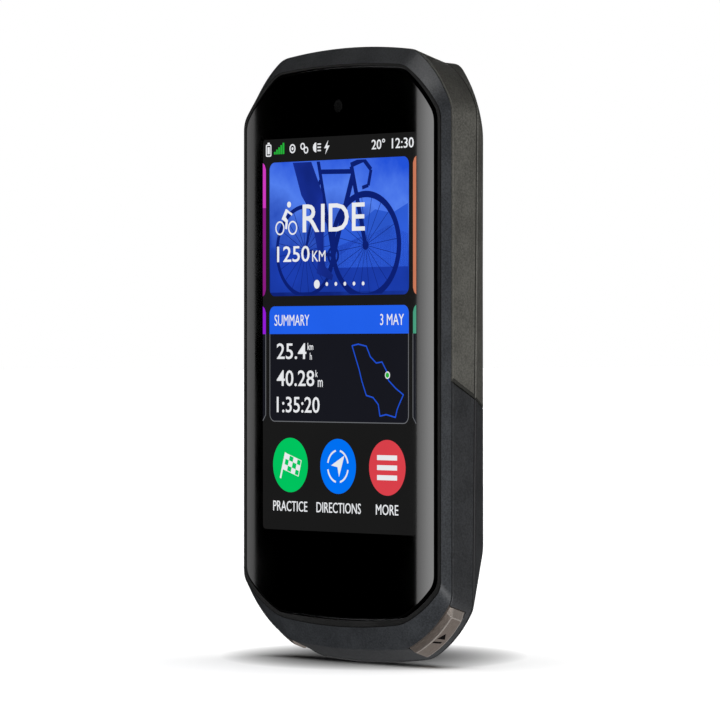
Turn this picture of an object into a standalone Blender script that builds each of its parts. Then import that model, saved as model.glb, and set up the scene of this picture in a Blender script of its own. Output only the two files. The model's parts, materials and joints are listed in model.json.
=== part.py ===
"""Touch-screen cycling computer: a sealed handlebar unit with a glass front, a two-tone rear
shell, three keys, a weather flap over its charging port and a quarter-turn mount on its back.

Shapes are written in millimetres in the unit's own measuring frame: X to the right of someone
looking at the screen, Y into the unit from the front of the glass, Z up from the bottom edge.
The empty "measuring_frame" then puts the origin at the middle of the mount's rear face.
"""

import math
from collections import namedtuple

import bmesh
import bpy
from mathutils import Matrix, Vector

MM = 0.001

# Driving dimensions, in millimetres.
DEPTH = 16.3  # glass to the rear face of the mount
MOUNT_HEIGHT = 66.0  # middle of the mount above the bottom edge
GAP = 0.3  # between touching pieces
WALL = 1.4  # rear shell
SEAM_DEPTH = 2.8  # where bezel and rear shell meet
CREASE_MIDDLE = 9.4  # depth of the side crease at half height
CREASE_LEAN = 0.011  # how much deeper it gets for each millimetre up
CREASE_DIP = 2.24  # how far forward it swings along the bottom, to make room for the port
DIP_FLAT, DIP_END = 10.0, 19.0  # where that swing is full, and where it has faded out
HALF_HEIGHT = 52.0
BACK_DEPTH = 13.0  # flat back of the rear shell
FLOOR_DEPTH = 11.6  # inside of that back
SPLIT_HEIGHT = 54.65  # where the two-tone joint meets the seam
SPLIT_LEAN = -0.515  # how it falls towards the back
GLASS_THICK = 1.2
SHELF_FRONT = 2.1
SHELF_BACK = 3.3
FRAME_FRONT = 4.3
FRAME_BACK = 5.1
FRAME_INSET = 1.35  # how far its edge lies inside the glass edge
BOARD_FRONT = 5.6
BOARD_BACK = 6.4
KEY_TRAVEL = 0.4
CORNER_RUN = 1.6  # how far a rounded corner reaches along its edges

# An eight-sided outline with bowed corner cuts, crown and keel, the same on the left and right.
Octagon = namedtuple(
    "Octagon", "half top_x top_z crown shoulder hip foot_x foot_z keel bow"
)
GLASS = Octagon(28.15, 18.3, 113.5, 114.4, 104.6, 16.2, 17.9, 9.3, 8.6, 0.7)
LIP = Octagon(29.35, 18.6, 114.2, 115.0, 104.9, 15.4, 18.0, 8.2, 7.05, 0.8)
SEAM = Octagon(30.1, 19.6, 117.2, 118.5, 106.0, 13.0, 17.1, 3.3, 2.55, 1.2)
CREASE = Octagon(29.35, 20.0, 115.0, 115.4, 105.6, 11.2, 17.6, 1.1, 0.0, 1.2)
BACK = Octagon(27.5, 20.9, 114.8, 115.1, 101.0, 21.8, 16.5, 10.5, 9.0, 1.2)
CORNER_CUT, SIDE = 2, 1  # edges of an outline, counted clockwise from the right shoulder cut
EDGE_POINTS = (5, 2, 5, 7, 5, 2, 5, 7)
CORNER_POINTS = 3


def clear_scene():
    for obj in list(bpy.data.objects):
        bpy.data.objects.remove(obj, do_unlink=True)


def new_collection(name):
    collection = bpy.data.collections.new(name)
    bpy.context.scene.collection.children.link(collection)
    return collection


clear_scene()
PARTS = new_collection("cycling_computer")
CUTTERS = new_collection("cutters")
FRAME = bpy.data.objects.new("measuring_frame", None)
FRAME.location = (0, -DEPTH * MM, -MOUNT_HEIGHT * MM)
PARTS.objects.link(FRAME)


# Materials


def finish(name, colour, roughness, metallic=0.0):
    material = bpy.data.materials.new(name)
    material.use_nodes = True
    shader = material.node_tree.nodes["Principled BSDF"]
    shader.inputs["Base Color"].default_value = (*colour, 1)
    shader.inputs["Roughness"].default_value = roughness
    shader.inputs["Metallic"].default_value = metallic
    return material


BEZEL_PLASTIC = finish("bezel_plastic", (0.028, 0.030, 0.033), 0.42)
TAUPE_PLASTIC = finish("taupe_plastic", (0.055, 0.052, 0.047), 0.5)
SLATE_PLASTIC = finish("slate_plastic", (0.030, 0.032, 0.035), 0.5)
KEY_METAL = finish("key_metal", (0.16, 0.135, 0.12), 0.38, 0.9)
BLACK_GLASS = finish("black_glass", (0.004, 0.004, 0.004), 0.05)
DISPLAY = finish("display", (0.02, 0.02, 0.022), 0.3)
FRAME_METAL = finish("frame_metal", (0.42, 0.42, 0.43), 0.45, 1.0)
BLACK_RUBBER = finish("black_rubber", (0.012, 0.012, 0.013), 0.8)
ADHESIVE = finish("adhesive", (0.02, 0.02, 0.02), 0.7)
CIRCUIT_BOARD = finish("circuit_board", (0.012, 0.07, 0.035), 0.45)
SHIELD_METAL = finish("shield_metal", (0.6, 0.6, 0.6), 0.3, 1.0)
CELL_FOIL = finish("cell_foil", (0.45, 0.46, 0.48), 0.4, 0.6)
POLYIMIDE = finish("polyimide", (0.25, 0.1, 0.02), 0.35)
ANTENNA_CERAMIC = finish("antenna_ceramic", (0.5, 0.45, 0.36), 0.6)
BLACK_PLASTIC = finish("black_plastic", (0.015, 0.015, 0.016), 0.45)
MOUNT_METAL = finish("mount_metal", (0.05, 0.05, 0.053), 0.4, 0.8)
SCREW_STEEL = finish("screw_steel", (0.25, 0.25, 0.26), 0.3, 1.0)
GOLD_PLATE = finish("gold_plate", (0.8, 0.55, 0.2), 0.25, 1.0)
WOVEN_MESH = finish("woven_mesh", (0.05, 0.05, 0.05), 0.7)


# Outlines and lofts


def corners(shape):
    """The eight sharp corners, clockwise from the top right, as (x, z)."""
    right = [
        (shape.top_x, shape.top_z),
        (shape.half, shape.shoulder),
        (shape.half, shape.hip),
        (shape.foot_x, shape.foot_z),
    ]
    return [Vector(p) for p in right] + [Vector((-x, z)) for x, z in reversed(right)]


def bulges(shape):
    """How far the middle of each edge stands out from its chord."""
    cut = shape.bow
    return (cut, 0, cut, shape.foot_z - shape.keel, cut, 0, cut, shape.crown - shape.top_z)


def outward(start, end):
    along = (end - start).normalized()
    return Vector((-along.y, along.x))


def crossing(p, along_p, q, along_q):
    """Where two lines in the plane meet."""
    scale = along_p.cross(along_q)
    return p + along_p * ((q - p).cross(along_q) / scale)


def shrunk(points, inset):
    """The corners of the outline that lies inset inside this one."""
    count = len(points)
    ways = [points[(i + 1) % count] - points[i] for i in range(count)]
    starts = [
        points[i] - outward(points[i], points[(i + 1) % count]) * inset for i in range(count)
    ]
    return [crossing(starts[i - 1], ways[i - 1], starts[i], ways[i]) for i in range(count)]


def bowed(start, end, bulge, share):
    """The point at this share of a bowed edge, and the edge's direction there."""
    out = outward(start, end)
    point = start.lerp(end, share) + out * (4 * bulge * share * (1 - share))
    return point, (end - start) + out * (4 * bulge * (1 - 2 * share))


def outline(shape, inset=0.0, corner_run=CORNER_RUN):
    """The rounded outline as (x, z) points. Every outline has the same number of them."""
    points = shrunk(corners(shape), inset)
    edges = []
    for i, bulge in enumerate(bulges(shape)):
        start, end = points[i], points[(i + 1) % len(points)]
        trim = corner_run / (end - start).length
        steps = EDGE_POINTS[i] - 1
        shares = [trim + (1 - 2 * trim) * k / steps for k in range(steps + 1)]
        edges.append([bowed(start, end, bulge, share) for share in shares])
    result = []
    for i, edge in enumerate(edges):
        result += [point for point, _ in edge]
        (p, along_p), (q, along_q) = edge[-1], edges[(i + 1) % len(edges)][0]
        pull = crossing(p, along_p, q, along_q)
        for k in range(1, CORNER_POINTS + 1):
            share = k / (CORNER_POINTS + 1)
            result.append(p.lerp(pull, share).lerp(pull.lerp(q, share), share))
    return result


def crease_depth(x, z):
    depth = CREASE_MIDDLE + CREASE_LEAN * (z - HALF_HEIGHT)
    if z > HALF_HEIGHT:
        return depth
    swing = min(max((DIP_END - abs(x)) / (DIP_END - DIP_FLAT), 0), 1)
    return depth - CREASE_DIP * swing * swing * (3 - 2 * swing)


def ring(shape, depth, inset=0.0, corner_run=CORNER_RUN):
    """The outline as points in space. The depth is a number or a function of x and z."""
    return [
        Vector((x, depth(x, z) if callable(depth) else depth, z))
        for x, z in outline(shape, inset, corner_run)
    ]


def between(first, second, share):
    return Octagon(*(a + (b - a) * share for a, b in zip(first, second)))


def circle(radius, segments):
    turns = [2 * math.pi * k / segments for k in range(segments)]
    return [(radius * math.cos(turn), radius * math.sin(turn)) for turn in turns]


def loft(bm, rings, closed=False):
    """Joins rings of equally many points. An open loft is capped; a closed one joins its ends."""
    rows = [[bm.verts.new(point) for point in points] for points in rings]
    pairs = list(zip(rows, rows[1:])) + ([(rows[-1], rows[0])] if closed else [])
    for first, second in pairs:
        for i, _ in enumerate(first):
            j = (i + 1) % len(first)
            bm.faces.new((first[i], first[j], second[j], second[i]))
    if not closed:
        bm.faces.new(rows[0])
        bm.faces.new(rows[-1])
    bmesh.ops.recalc_face_normals(bm, faces=bm.faces)


# Primitive solids


def add_box(bm, low, high, place=None):
    low, high = Vector(low), Vector(high)
    made = bmesh.ops.create_cube(bm, size=1)["verts"]
    size = Matrix.Diagonal((*(high - low), 1))
    moved = Matrix.Translation((low + high) / 2) @ size
    bmesh.ops.transform(bm, matrix=(place or Matrix.Identity(4)) @ moved, verts=made)


def add_rod(bm, start, end, radius, segments=24, place=None):
    start, end = Vector(start), Vector(end)
    along = end - start
    made = bmesh.ops.create_cone(
        bm,
        cap_ends=True,
        segments=segments,
        radius1=radius,
        radius2=radius,
        depth=along.length,
    )["verts"]
    turn = along.to_track_quat("Z", "X").to_matrix().to_4x4()
    moved = Matrix.Translation((start + end) / 2) @ turn
    bmesh.ops.transform(bm, matrix=(place or Matrix.Identity(4)) @ moved, verts=made)


def add_tube(bm, low, high, outer, inner, segments=24, place=None):
    """A ring about the local Z axis, from z = low to z = high."""
    around = ((outer, low), (outer, high), (inner, high), (inner, low))
    rings = [[Vector((x, y, z)) for x, y in circle(radius, segments)] for radius, z in around]
    place = place or Matrix.Identity(4)
    loft(bm, [[place @ point for point in points] for points in rings], closed=True)


def mirrored(bm):
    bmesh.ops.transform(bm, matrix=Matrix.Scale(-1, 4, (1, 0, 0)), verts=bm.verts)
    bmesh.ops.recalc_face_normals(bm, faces=bm.faces)


# Objects


def make(name, bm, material, pivot=(0, 0, 0), collection=PARTS):
    """Turns the mesh, in millimetres, into an object whose origin is at the pivot."""
    bmesh.ops.translate(bm, vec=-Vector(pivot), verts=bm.verts)
    bmesh.ops.scale(bm, vec=(MM, MM, MM), verts=bm.verts)
    mesh = bpy.data.meshes.new(name)
    bm.to_mesh(mesh)
    bm.free()
    obj = bpy.data.objects.new(name, mesh)
    obj.location = Vector(pivot) * MM
    obj.parent = FRAME
    collection.objects.link(obj)
    if material:
        mesh.materials.append(material)
    return obj


def round_edges(obj, width, segments=2):
    bevel = obj.modifiers.new("rounding", "BEVEL")
    bevel.width = width * MM
    bevel.segments = segments
    bevel.limit_method = "ANGLE"
    return obj


def shade_round(obj):
    obj.data.shade_smooth()
    obj.data.set_sharp_from_angle(angle=math.radians(35))
    return obj


def block(name, low, high, material, rounding=0.0):
    bm = bmesh.new()
    add_box(bm, low, high)
    obj = make(name, bm, material)
    return round_edges(obj, rounding) if rounding else obj


def rod(name, start, end, radius, material, segments=24):
    bm = bmesh.new()
    add_rod(bm, start, end, radius, segments)
    return shade_round(make(name, bm, material))


def helper(name, bm):
    obj = make(name, bm, None, collection=CUTTERS)
    obj.hide_render = True
    obj.display_type = "WIRE"
    return obj


def box_helper(name, low, high, place=None):
    bm = bmesh.new()
    add_box(bm, low, high, place)
    return helper(name, bm)


def rod_helper(name, start, end, radius, segments=20):
    bm = bmesh.new()
    add_rod(bm, start, end, radius, segments)
    return helper(name, bm)


def combine(target, others, operation):
    for other in others:
        boolean = target.modifiers.new(other.name, "BOOLEAN")
        boolean.operation = operation
        boolean.object = other


def cut(target, *others):
    combine(target, others, "DIFFERENCE")


def join(target, *others):
    combine(target, others, "UNION")


# Keys: each follows one edge of the shell between the seam and the crease


KeySpot = namedtuple("KeySpot", "edge start end front back middle crease left")
START_STOP = KeySpot(CORNER_CUT, 0.09, 0.965, 3.15, 7.2, 5.3, 8.9, False)
LAP = START_STOP._replace(left=True)
POWER_MIDDLE = 86.0
POWER_HALF = 6.5
SIDE_SPAN = SEAM.shoulder - SEAM.hip
POWER = KeySpot(
    SIDE,
    (SEAM.shoulder - POWER_MIDDLE - POWER_HALF) / SIDE_SPAN,
    (SEAM.shoulder - POWER_MIDDLE + POWER_HALF) / SIDE_SPAN,
    4.9,
    7.7,
    6.3,
    9.8,
    True,
)


def wall_shape(spot, depth):
    return between(SEAM, CREASE, (depth - SEAM_DEPTH) / (spot.crease - SEAM_DEPTH))


def wall_point(spot, share, depth):
    """A point on the sharp-cornered outside of the shell, on the right-hand side."""
    shape = wall_shape(spot, depth)
    points = corners(shape)
    start, end = points[spot.edge], points[spot.edge + 1]
    point, _ = bowed(start, end, bulges(shape)[spot.edge], share)
    return Vector((point.x, depth, point.y))


def wall_normal(spot):
    points = corners(wall_shape(spot, spot.middle))
    out = outward(points[spot.edge], points[spot.edge + 1])
    return Vector((out.x, 0, out.y))


def key_frame(spot):
    """Local X along the edge, Y into the unit, Z outwards, at the middle of the key."""
    out = wall_normal(spot)
    depth = Vector((0, 1, 0))
    along = depth.cross(out)
    turn = Matrix((along, depth, out)).transposed().to_4x4()
    middle = wall_point(spot, (spot.start + spot.end) / 2, spot.middle)
    return Matrix.Translation(middle) @ turn


def along_wall(bm, spot, shares, profile):
    """Sweeps a profile of (depth, height above the wall) along the edge."""
    out = wall_normal(spot)
    loft(
        bm,
        [
            [wall_point(spot, share, depth) + out * height for depth, height in profile]
            for share in shares
        ],
    )


def spread(start, end, count):
    return [start + (end - start) * k / (count - 1) for k in range(count)]


def edge_length(spot):
    points = corners(SEAM)
    return (points[spot.edge + 1] - points[spot.edge]).length


def finished(bm, spot):
    if spot.left:
        mirrored(bm)
    return bm


def wall_slope(spot):
    """How far the wall moves outwards for each millimetre into the unit, at the key's middle."""
    share = (spot.start + spot.end) / 2
    step = wall_point(spot, share, spot.middle + 1) - wall_point(spot, share, spot.middle)
    return step.dot(wall_normal(spot))


KeyBuild = namedtuple("KeyBuild", "floor inner crest bevel stem_end stem boss_inner")
CORNER_BUILD = KeyBuild(-2.2, -1.7, 0.6, 0.95, -5.3, 0.8, -4.2)
POWER_BUILD = KeyBuild(-1.5, -1.0, 0.45, 0.7, -3.7, 0.8, -2.6)


def key_cap(name, spot, build):
    """The cap with its bevelled crest, and the stem that reaches the switch."""
    profile = [
        (spot.front, build.inner),
        (spot.front, -0.2),
        (spot.front + build.bevel, build.crest),
        (spot.back - 0.35, build.crest - 0.05),
        (spot.back, build.crest - 0.4),
        (spot.back, build.inner),
    ]
    low_end = [(depth, min(height, -0.15)) for depth, height in profile]
    bm = bmesh.new()
    out = wall_normal(spot)
    run = 1.5 / edge_length(spot)
    rings = [(spot.start, low_end)]
    rings += [(share, profile) for share in spread(spot.start + run, spot.end, 8)]
    if spot.edge == SIDE:
        rings = rings[:-1] + [(spot.end - run, profile), (spot.end, low_end)]
    loft(
        bm,
        [
            [wall_point(spot, share, depth) + out * height for depth, height in points]
            for share, points in rings
        ],
    )
    place = key_frame(spot)
    pivot = place.translation.copy()
    if spot.left:
        pivot.x = -pivot.x
    cap = make(name, finished(bm, spot), KEY_METAL, pivot)
    bm = bmesh.new()
    add_rod(bm, (0, 0, build.inner + 0.9), (0, 0, build.stem_end), build.stem, 16, place)
    join(cap, helper(f"{name}_stem", finished(bm, spot)))
    return cap


def key_pocket(name, spot, build):
    """Solids that cut the key's pocket and its stem hole out of the shell."""
    slack = GAP / edge_length(spot)
    front = SEAM_DEPTH - 1 if spot.edge == CORNER_CUT else spot.front - GAP
    top = 3.0
    profile = [
        (front, build.floor),
        (front, top),
        (spot.back + GAP, top),
        (spot.back + GAP, build.floor),
    ]
    bm = bmesh.new()
    along_wall(bm, spot, spread(spot.start - slack, spot.end + slack, 8), profile)
    pocket = helper(f"{name}_pocket", finished(bm, spot))
    bm = bmesh.new()
    hole = build.stem + GAP
    add_rod(bm, (0, 0, build.floor + 0.9), (0, 0, build.boss_inner - 0.5), hole, 16, key_frame(spot))
    return pocket, helper(f"{name}_stem_hole", finished(bm, spot))


def key_boss(name, spot, build, front, back, shares):
    """The thickening behind the pocket. Its inner face is square to the key's travel."""

    def inner(depth):
        return build.boss_inner - wall_slope(spot) * (depth - spot.middle)

    profile = [(front, -0.8), (back, -0.8), (back, inner(back)), (front, inner(front))]
    bm = bmesh.new()
    along_wall(bm, spot, shares, profile)
    return helper(f"{name}_boss", finished(bm, spot))


def key_seal(name, spot, build):
    bm = bmesh.new()
    low = build.boss_inner - GAP - 0.6
    add_tube(bm, low, low + 0.5, 1.9, build.stem + GAP, 24, key_frame(spot))
    return shade_round(make(name, finished(bm, spot), BLACK_RUBBER))


def key_switch(name, spot, build):
    """A side-push switch: a body with a round button towards the stem."""
    face = build.stem_end - KEY_TRAVEL - 0.1
    bm = bmesh.new()
    add_box(bm, (-2.2, -1, face - 2.4), (2.2, 1, face - 0.5), key_frame(spot))
    switch = make(name, finished(bm, spot), BLACK_PLASTIC)
    bm = bmesh.new()
    add_rod(bm, (0, 0, face - 1), (0, 0, face), 0.8, 16, key_frame(spot))
    join(switch, helper(f"{name}_button", finished(bm, spot)))
    return switch


def key_clearance(name, spot, profile, start, end):
    bm = bmesh.new()
    along_wall(bm, spot, spread(start, end, 6), profile)
    return helper(name, finished(bm, spot))


# Housing


def build_bezel():
    """A stepped ring: lip, outer chamfer, a tongue into the shell and a shelf under the glass."""
    back = SEAM_DEPTH - GAP / 2
    tongue_out = WALL + GAP + 0.15
    tongue_in = tongue_out + 0.75
    tongue_end = 4.0
    tapered = between(SEAM, CREASE, 0.3)
    bm = bmesh.new()
    loft(
        bm,
        [
            ring(LIP, 0.5),
            ring(SEAM, back),
            ring(SEAM, back, tongue_out),
            ring(tapered, tongue_end, tongue_out),
            ring(tapered, tongue_end, tongue_in),
            ring(SEAM, SHELF_BACK, tongue_in),
            ring(GLASS, SHELF_BACK, 2.4, 1.6),
            ring(GLASS, SHELF_FRONT, 2.4, 1.6),
            ring(GLASS, SHELF_FRONT, -GAP),
            ring(GLASS, 0.5, -GAP),
        ],
        closed=True,
    )
    bezel = make("front_bezel", bm, BEZEL_PLASTIC)
    zone = [(back + 0.05, -9), (back + 0.05, 3), (9, 3), (9, -9)]
    cut(
        bezel,
        key_clearance("start_stop_tongue_notch", START_STOP, zone, -0.06, 1.06),
        key_clearance("lap_tongue_notch", LAP, zone, -0.06, 1.06),
    )
    return bezel


def build_glass():
    bm = bmesh.new()
    rings = [ring(GLASS, 0, 0.3), ring(GLASS, 0.08, 0.08), ring(GLASS, 0.3), ring(GLASS, GLASS_THICK)]
    loft(bm, rings)
    make("cover_glass", bm, BLACK_GLASS)


def flat_ring(name, shape, depths, insets, material):
    """A flat gasket with the outline's shape."""
    (front, back), (outer, inner) = depths, insets
    bm = bmesh.new()
    loft(
        bm,
        [
            ring(shape, front, outer, 1.8),
            ring(shape, back, outer, 1.8),
            ring(shape, back, inner, 1.5),
            ring(shape, front, inner, 1.5),
        ],
        closed=True,
    )
    make(name, bm, material)


def shell_mesh():
    """The whole rear shell, a cup, before it is divided in two."""
    front = SEAM_DEPTH + GAP / 2
    knee = between(SEAM, CREASE, 0.5)._replace(keel=1.15)
    bm = bmesh.new()
    loft(
        bm,
        [
            ring(BACK, FLOOR_DEPTH, WALL + 0.4, 2.0),
            ring(CREASE, lambda x, z: crease_depth(x, z) - 0.5, WALL, 2.0),
            ring(SEAM, front, WALL, 2.0),
            ring(SEAM, front),
            ring(knee, lambda x, z: (SEAM_DEPTH + crease_depth(x, z)) / 2),
            ring(CREASE, crease_depth),
            ring(BACK, BACK_DEPTH),
        ],
    )
    return bm


def split_side(name, upper):
    """A block that takes away everything below the joint, or everything above it."""
    angle = math.atan(SPLIT_LEAN)
    place = Matrix.Translation((0, SEAM_DEPTH, SPLIT_HEIGHT)) @ Matrix.Rotation(angle, 4, "X")
    half = GAP / 2
    if upper:
        return box_helper(name, (-50, -40, -120), (50, 60, half), place)
    return box_helper(name, (-50, -40, -half), (50, 60, 120), place)


SCREW_SPOTS_HIGH = [(-23.3, 96.5), (23.3, 96.5)]
SCREW_SPOTS_LOW = [(-23.3, 30.0), (23.3, 30.0)]
BOSS_FRONT = 7.0


def screw_bosses(name, spots):
    bm = bmesh.new()
    for x, z in spots:
        add_rod(bm, (x, BOSS_FRONT, z), (x, FLOOR_DEPTH + 0.7, z), 2.7, 20)
    return helper(name, bm)


def screw_holes(name, spots):
    bm = bmesh.new()
    for x, z in spots:
        add_rod(bm, (x, BOSS_FRONT - 1, z), (x, BACK_DEPTH - 1.0, z), 1.1, 16)
    through = helper(name, bm)
    bm = bmesh.new()
    for x, z in spots:
        add_rod(bm, (x, BACK_DEPTH - 1.6, z), (x, BACK_DEPTH + 1, z), 2.1, 20)
    return through, helper(f"{name}_heads", bm)


def housing_screws():
    for number, (x, z) in enumerate(SCREW_SPOTS_HIGH + SCREW_SPOTS_LOW, 1):
        socket_screw(f"housing_screw_{number}", (x, z), (4.6, 11.7, 12.8), 0.8, 1.8)


def socket_screw(name, spot, depths, shank, head):
    """A pan-head screw along Y with a six-sided socket in its head."""
    x, z = spot
    tip, shoulder, top = depths
    bm = bmesh.new()
    add_rod(bm, (x, shoulder, z), (x, top, z), head, 20)
    screw = shade_round(make(name, bm, SCREW_STEEL, (x, top, z)))
    bm = bmesh.new()
    add_rod(bm, (x, tip, z), (x, shoulder + 0.3, z), shank, 12)
    join(screw, helper(f"{name}_shank", bm))
    bm = bmesh.new()
    add_rod(bm, (x, top - 0.6, z), (x, top + 1, z), head * 0.45, 6)
    cut(screw, helper(f"{name}_socket", bm))


# Mount on the back


MOUNT_RADIUS = 12.75
TAB_RADIUS = 15.3
TAB_HALF = 5.0
NECK_RADIUS = 11.0
FLANGE_FRONT = 14.6
MOUNT_SCREW_CIRCLE = 8.2


def mount_screw_spots():
    return [
        (MOUNT_SCREW_CIRCLE * math.cos(turn), MOUNT_HEIGHT + MOUNT_SCREW_CIRCLE * math.sin(turn))
        for turn in (math.radians(45 + 90 * k) for k in range(4))
    ]


def build_mount():
    centre = (0, MOUNT_HEIGHT)

    def disc(name, radius, front, back, segments=48):
        bm = bmesh.new()
        add_rod(bm, (centre[0], front, centre[1]), (centre[0], back, centre[1]), radius, segments)
        return helper(name, bm)

    bm = bmesh.new()
    low = (-TAB_RADIUS - 1, FLANGE_FRONT, MOUNT_HEIGHT - TAB_HALF)
    add_box(bm, low, (TAB_RADIUS + 1, DEPTH, MOUNT_HEIGHT + TAB_HALF))
    mount = make("quarter_turn_mount", bm, MOUNT_METAL, (0, DEPTH, MOUNT_HEIGHT))
    combine(mount, [disc("tab_ends", TAB_RADIUS, FLANGE_FRONT - 1, DEPTH + 1, 64)], "INTERSECT")
    join(
        mount,
        disc("mount_flange", MOUNT_RADIUS, FLANGE_FRONT, DEPTH),
        disc("mount_neck", NECK_RADIUS, BACK_DEPTH + GAP, FLANGE_FRONT + 0.5),
    )
    holes, seats = bmesh.new(), bmesh.new()
    for x, z in mount_screw_spots():
        add_rod(holes, (x, BACK_DEPTH - 1, z), (x, DEPTH + 1, z), 1.1, 16)
        add_rod(seats, (x, DEPTH - 1.5, z), (x, DEPTH + 1, z), 2.1, 20)
    cut(mount, helper("mount_screw_holes", holes), helper("mount_screw_seats", seats))
    for number, spot in enumerate(mount_screw_spots(), 1):
        depths = (FLOOR_DEPTH + 0.2, DEPTH - 1.2, DEPTH - 0.2)
        socket_screw(f"mount_screw_{number}", spot, depths, 0.8, 1.8)


# Charging port and its flap, on the sloping facet at the bottom of the back


FACET_FOOT = (crease_depth(0, 0), 0.0)
FACET_TOP = (BACK_DEPTH, BACK.keel)
PORT_FRONT, PORT_BACK = 7.3, 10.5
PORT_HALF = 4.5
PORT_MOUTH = 7.9
FLAP_START, FLAP_END, FLAP_HALF = 0.9, 8.1, 8.0
FLAP_THICK = 1.0
ANCHOR_END = 10.2
HINGE_ALONG = FLAP_END - 0.5
HINGE_DEEP = -0.5


def facet_frame():
    """Local X across the facet, Y up along it from the crease, Z out of it."""
    foot = Vector((0, *FACET_FOOT))
    along = (Vector((0, *FACET_TOP)) - foot).normalized()
    across = Vector((-1, 0, 0))
    turn = Matrix((across, along, across.cross(along))).transposed().to_4x4()
    return Matrix.Translation(foot) @ turn


def flap_pivot():
    return facet_frame() @ Vector((0, HINGE_ALONG, HINGE_DEEP))


def build_flap():
    """The elastomer cover: a plate with a round hinge end and a lip that plugs the port."""
    place = facet_frame()
    bm = bmesh.new()
    add_box(bm, (-FLAP_HALF, FLAP_START, -FLAP_THICK), (FLAP_HALF, HINGE_ALONG, 0), place)
    flap = make("usb_flap", bm, BLACK_RUBBER, flap_pivot())
    bm = bmesh.new()
    start, end = (-FLAP_HALF, HINGE_ALONG, HINGE_DEEP), (FLAP_HALF, HINGE_ALONG, HINGE_DEEP)
    add_rod(bm, start, end, FLAP_THICK / 2, 16, place)
    hinge_end = helper("usb_flap_hinge_end", bm)
    bm = bmesh.new()
    add_box(bm, (-4.3, 4.2, -1.8), (4.3, 6.0, -0.5), place)
    join(flap, hinge_end, helper("usb_flap_lip", bm))
    bm = bmesh.new()
    add_box(bm, (-2.6, FLAP_START - 1, -0.45), (2.6, FLAP_START + 0.8, 0.5), place)
    cut(flap, helper("usb_flap_thumb_notch", bm))
    bm = bmesh.new()
    low = (-FLAP_HALF + 2, FLAP_END + GAP + 0.1, -FLAP_THICK + 0.2)
    add_box(bm, low, (FLAP_HALF - 2, ANCHOR_END, -0.1), place)
    make("flap_anchor", bm, BLACK_RUBBER)


def port_helpers():
    place = facet_frame()
    boss = box_helper("port_boss", (-10.3, 0.3, -3.0), (10.3, 10.9, -0.9), place)
    low = (-FLAP_HALF - GAP, FLAP_START - GAP, -FLAP_THICK - GAP)
    recess = box_helper("flap_recess", low, (FLAP_HALF + GAP, ANCHOR_END + GAP, 3), place)
    low, high = (-5.6, PORT_FRONT - 0.1, -3), (5.6, PORT_BACK + 0.3, PORT_MOUTH + 0.5)
    mouth = box_helper("port_mouth", low, high)
    low = (-PORT_HALF - 0.4, PORT_FRONT - 0.4, PORT_MOUTH - GAP)
    tunnel = box_helper("port_tunnel", low, (PORT_HALF + 0.4, PORT_BACK + 0.4, 20))
    return boss, (recess, mouth, tunnel)


def build_receptacle():
    """The socket: a rounded metal shell, open downwards, with its contact tongue."""
    top = PORT_MOUTH + 7.4
    middle = (PORT_FRONT + PORT_BACK) / 2
    low, high = (-PORT_HALF, PORT_FRONT, PORT_MOUTH), (PORT_HALF, PORT_BACK, top)
    shell = block("usb_receptacle", low, high, SHIELD_METAL)
    wall = 0.35
    low = (-PORT_HALF + wall, PORT_FRONT + wall, PORT_MOUTH - 1)
    cut(shell, box_helper("socket_hollow", low, (PORT_HALF - wall, PORT_BACK - wall, top - 0.8)))
    low, high = (-3.3, middle - 0.35, PORT_MOUTH + 0.9), (3.3, middle + 0.35, top - 0.5)
    join(shell, box_helper("socket_tongue", low, high))


# Small features of the back


CONTACT_HEIGHT = 42.5
CONTACT_X = [-5.4, -1.8, 1.8, 5.4]
LANYARD_X, LANYARD_Z = -17.8, 19.6
SPEAKER_X, SPEAKER_Z = 11.0, 86.5
VENT_X, VENT_Z = -13.0, 88.0


def contact_opening():
    low = (-7.8, FLOOR_DEPTH - 2, CONTACT_HEIGHT - 2.1)
    return box_helper("contact_opening", low, (7.8, BACK_DEPTH + 1, CONTACT_HEIGHT + 2.1))


def build_contacts():
    low = (-7.5, 11.0, CONTACT_HEIGHT - 1.8)
    carrier = block("contact_carrier", low, (7.5, BACK_DEPTH - 0.2, CONTACT_HEIGHT + 1.8), BLACK_PLASTIC)
    bm = bmesh.new()
    for x in CONTACT_X:
        add_rod(bm, (x, 11.6, CONTACT_HEIGHT), (x, BACK_DEPTH + 1, CONTACT_HEIGHT), 1.2, 16)
    cut(carrier, helper("contact_wells", bm))
    for number, x in enumerate(CONTACT_X, 1):
        start, end = (x, 11.9, CONTACT_HEIGHT), (x, BACK_DEPTH - 0.1, CONTACT_HEIGHT)
        rod(f"battery_pack_contact_{number}", start, end, 0.9, GOLD_PLATE, 16)


def lanyard_helpers():
    x, z = LANYARD_X, LANYARD_Z
    boss = box_helper("lanyard_boss", (x - 4, 9.2, z - 2.9), (x + 4, FLOOR_DEPTH + 0.5, z + 3.1))
    low = (x - 2.4, 9.9, z - 1.9)
    pocket = box_helper("lanyard_pocket", low, (x + 2.4, BACK_DEPTH + 1, z + 1.9))
    hole = rod_helper("lanyard_bar_hole", (x - 3.7, 11.3, z), (x + 3.7, 11.3, z), 0.95, 16)
    return boss, (pocket, hole)


def build_lanyard_bar():
    x, z = LANYARD_X, LANYARD_Z
    rod("lanyard_bar", (x - 3.4, 11.3, z), (x + 3.4, 11.3, z), 0.65, SCREW_STEEL, 16)


def speaker_slots():
    bm = bmesh.new()
    for k in (-1, 0, 1):
        z = SPEAKER_Z + 1.9 * k
        low = (SPEAKER_X - 4, FLOOR_DEPTH - 1, z - 0.45)
        add_box(bm, low, (SPEAKER_X + 4, BACK_DEPTH + 1, z + 0.45))
    return helper("speaker_slots", bm)


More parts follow.
